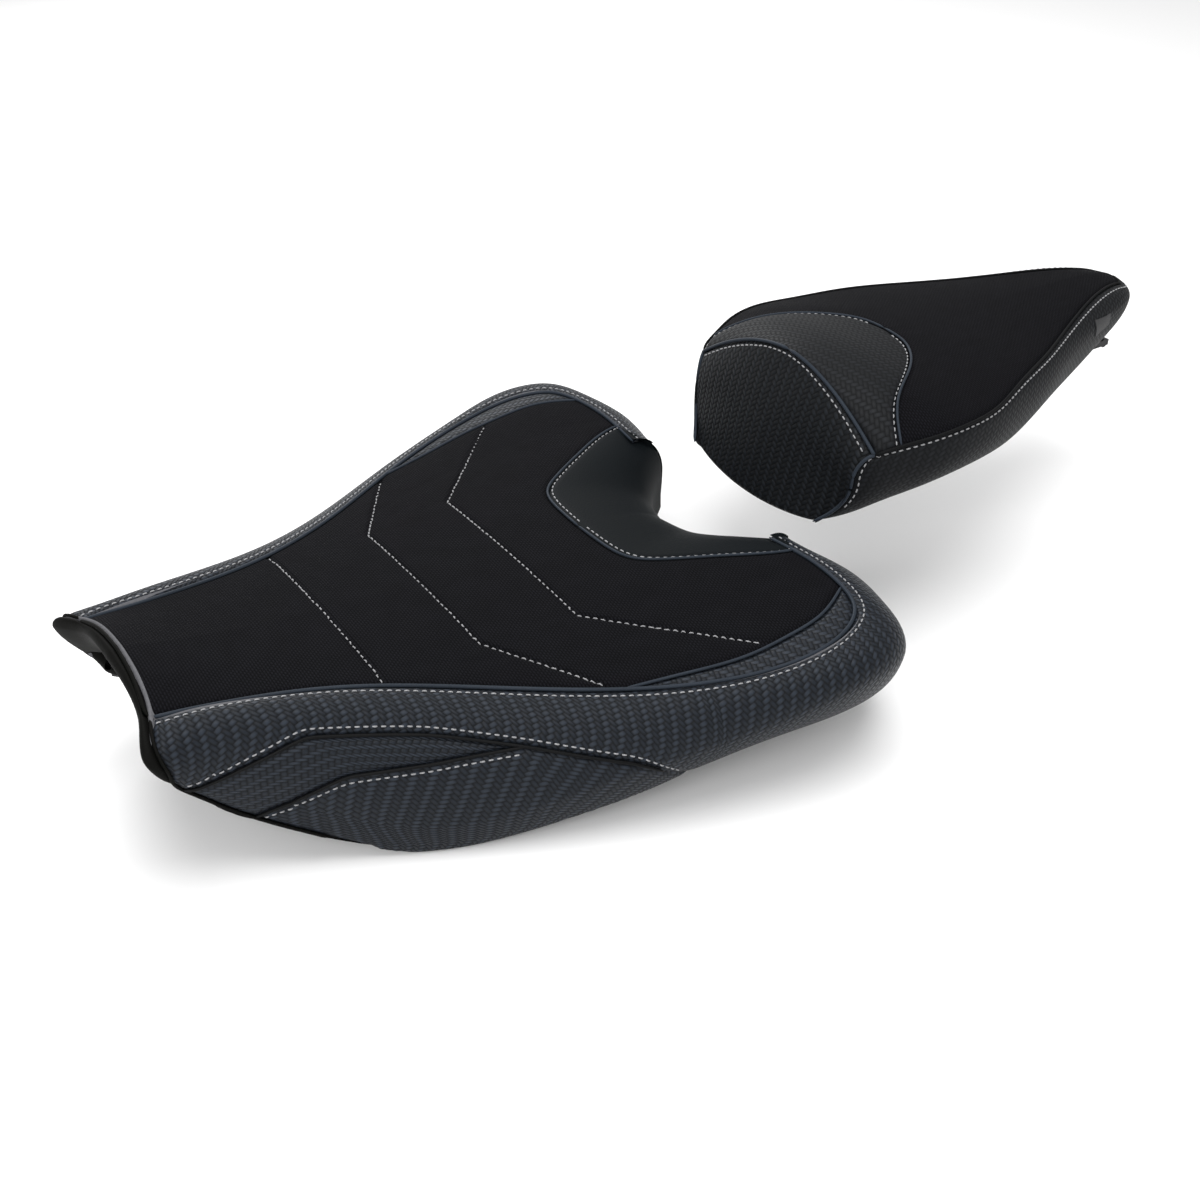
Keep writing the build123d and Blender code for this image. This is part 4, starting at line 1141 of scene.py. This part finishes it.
both(rider_seams)
thread_run("rider_notch_stitches", NOTCH_STITCH, ["rider_notch_panel"])
thread_run("rider_quilt_stitches", QUILT, ["rider_top_panel"])
tube("rider_notch_piping", [NOTCH_LINE, flip(NOTCH_LINE)], 0.8, PIPING_HIGHLIGHT)
tube("rider_nose_piping", [np.concatenate([flip(NOSE_TOP)[:0:-1], NOSE_TOP])], 1.0, STRIP)
thread_run("passenger_saddle_stitches", mirrored([SADDLE_STITCH]), ["passenger_saddle_band"],
           "passenger_seat")
tube("passenger_saddle_piping", [SADDLE_LINE, flip(SADDLE_LINE)], 0.8, PIPING_HIGHLIGHT, "passenger_seat")
FACE_STITCH = np.stack([face_x(ARCH[:, 1] * 0.95, ARCH[:, 2] - 3), ARCH[:, 1] * 0.95,
                        ARCH[:, 2] - 3.2], axis=1)
thread_run("passenger_face_stitches", [FACE_STITCH, flip(FACE_STITCH)],
           ["passenger_front_panel"], "passenger_seat")
FACE_EDGE = np.concatenate([FACE_SIDE[:-1], ARCH[::-1]])
tube("passenger_face_piping", [FACE_EDGE, flip(FACE_EDGE)], 1.1, PIPING_HIGHLIGHT, "passenger_seat")


def passenger_seams(side, hand):
    """Piping and stitches down one side of the passenger seat."""
    name = f"passenger_side_panel_{hand}"
    tube(f"passenger_side_piping_{hand}", [to_side(P_SEAM_LINE, side)], 0.9, TWILL_SOFT,
         "passenger_seat", slot="twill_vinyl")
    along = side_wall(SIDE_STITCH_S, SIDE_STITCH_T)
    down = side_wall(np.full(60, 4.5), np.linspace(SIDE_STITCH_T[0], 1.35, 60))
    lines = [to_side(along, side), to_side(down, side)]
    thread_run(f"passenger_side_stitches_{hand}", lines, [name], "passenger_seat")


both(passenger_seams)


def label():
    """The blank cloth label sewn to the passenger seat's left side."""
    low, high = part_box("passenger_blank_label")
    middle, name = (low + high) / 2 / MM, "passenger_side_panel_left"
    half_x, half_z = (high.x - low.x) / 2 / MM - 1, (high.z - low.z) / 2 / MM - 1
    points, cols, rows = [], 25, 9
    for j in range(rows):
        for i in range(cols):
            fx, fz = 2 * i / (cols - 1) - 1, 2 * j / (rows - 1) - 1
            points.append((middle.x + fx * half_x, middle.y, middle.z + fz * half_z))
    flat = snap(points, [name], 0.55)
    back = snap(points, [name], -0.4)
    faces = grid_faces(rows, cols)
    rim = [*range(cols), *range(2 * cols - 1, rows * cols, cols),
           *range(rows * cols - 2, (rows - 1) * cols - 1, -1), *range((rows - 2) * cols, 0, -cols)]
    n = rows * cols
    sides = [(a, a + n, b + n, b) for a, b in zip(rim, rim[1:] + rim[:1])]
    every = [tuple(f) for f in faces] + [tuple(reversed([k + n for k in f])) for f in faces] + sides
    piece = build("passenger_blank_label_cloth", np.concatenate([flat, back]), every,
                  body="passenger_seat", slot="label_cloth", material=LABEL, smooth_shade=False)
    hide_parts("passenger_blank_label")


label()

# ------------------------------------------------------------------ finishes of the CAD nodes
# A CAD node takes the first of these whose word is in its name.
# The hooks get near black steel as painted shade.
FINISH = {"pan": PLASTIC, "tongue": PLASTIC, "bumper": RUBBER, "staple": STAPLE, "rivet": RIVET,
          "screw": BRIGHT, "striker": BRIGHT, "plate": ZINC, "tab": ZINC, "hook": SHADE_DARK_STEEL}
for name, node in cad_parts.items():
    picked = [FINISH[word] for word in FINISH if word in name]
    node.data.materials.clear()
    node.data.materials.append(picked[0] if picked else PLASTIC)

# ------------------------------------------------------------------ stage, camera, lights
def pale_floor():
    """A plain pale floor under the seat."""
    low = min(v.z for v in (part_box(n)[0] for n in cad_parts))
    mesh = bpy.data.meshes.new("floor")
    r = 30.0
    mesh.from_pydata([(-r, -r, 0), (r, -r, 0), (r, r, 0), (-r, r, 0)], [], [(0, 1, 2, 3)])
    floor = bpy.data.objects.new("floor", mesh)
    floor.location.z = low - 0.0006
    bpy.context.scene.collection.objects.link(floor)
    mat, shader, add, link, m = nodes_of("floor_paper", 0.9)
    shader.inputs["Base Color"].default_value = (0.9, 0.9, 0.9, 1)
    mesh.materials.append(mat)


def soft_light(name, where, towards, size, power):
    """A large area light aimed at a point."""
    data = bpy.data.lights.new(name, "AREA")
    data.shape, data.size, data.energy = "DISK", size, power
    light = bpy.data.objects.new(name, data)
    bpy.context.scene.collection.objects.link(light)
    light.location = where
    light.rotation_euler = (Vector(where) - Vector(towards)).to_track_quat("Z", "Y").to_euler()


def camera():
    """The camera, above the front left of the seat and looking back along it."""
    data = bpy.data.cameras.new("camera")
    data.lens, data.sensor_width = 48.0, 36.0
    eye = bpy.data.objects.new("camera", data)
    right, up, back = (-0.8318, 0.5550, 0), (-0.3127, -0.4686, 0.8262), (0.4585, 0.6873, 0.5634)
    turn = Matrix((right, up, back)).transposed().to_4x4()
    eye.matrix_world = Matrix.Translation((0.5157, 0.6545, 0.5439)) @ turn
    bpy.context.scene.collection.objects.link(eye)
    bpy.context.scene.camera = eye


pale_floor()
camera()
soft_light("overhead", (0.1, 0.2, 1.4), (0, 0, 0.05), 1.2, 16)
soft_light("front_left", (1.2, 0.9, 0.9), (0.1, 0, 0.05), 0.9, 12)
soft_light("far_side", (-0.2, -1.3, 0.9), (0, 0, 0.05), 0.9, 12)
world = bpy.data.worlds.new("studio")
world.use_nodes = True
world.node_tree.nodes["Background"].inputs["Color"].default_value = (1, 1, 1, 1)
world.node_tree.nodes["Background"].inputs["Strength"].default_value = 0.7
bpy.context.scene.world = world
bpy.context.scene.view_settings.view_transform = "Standard"
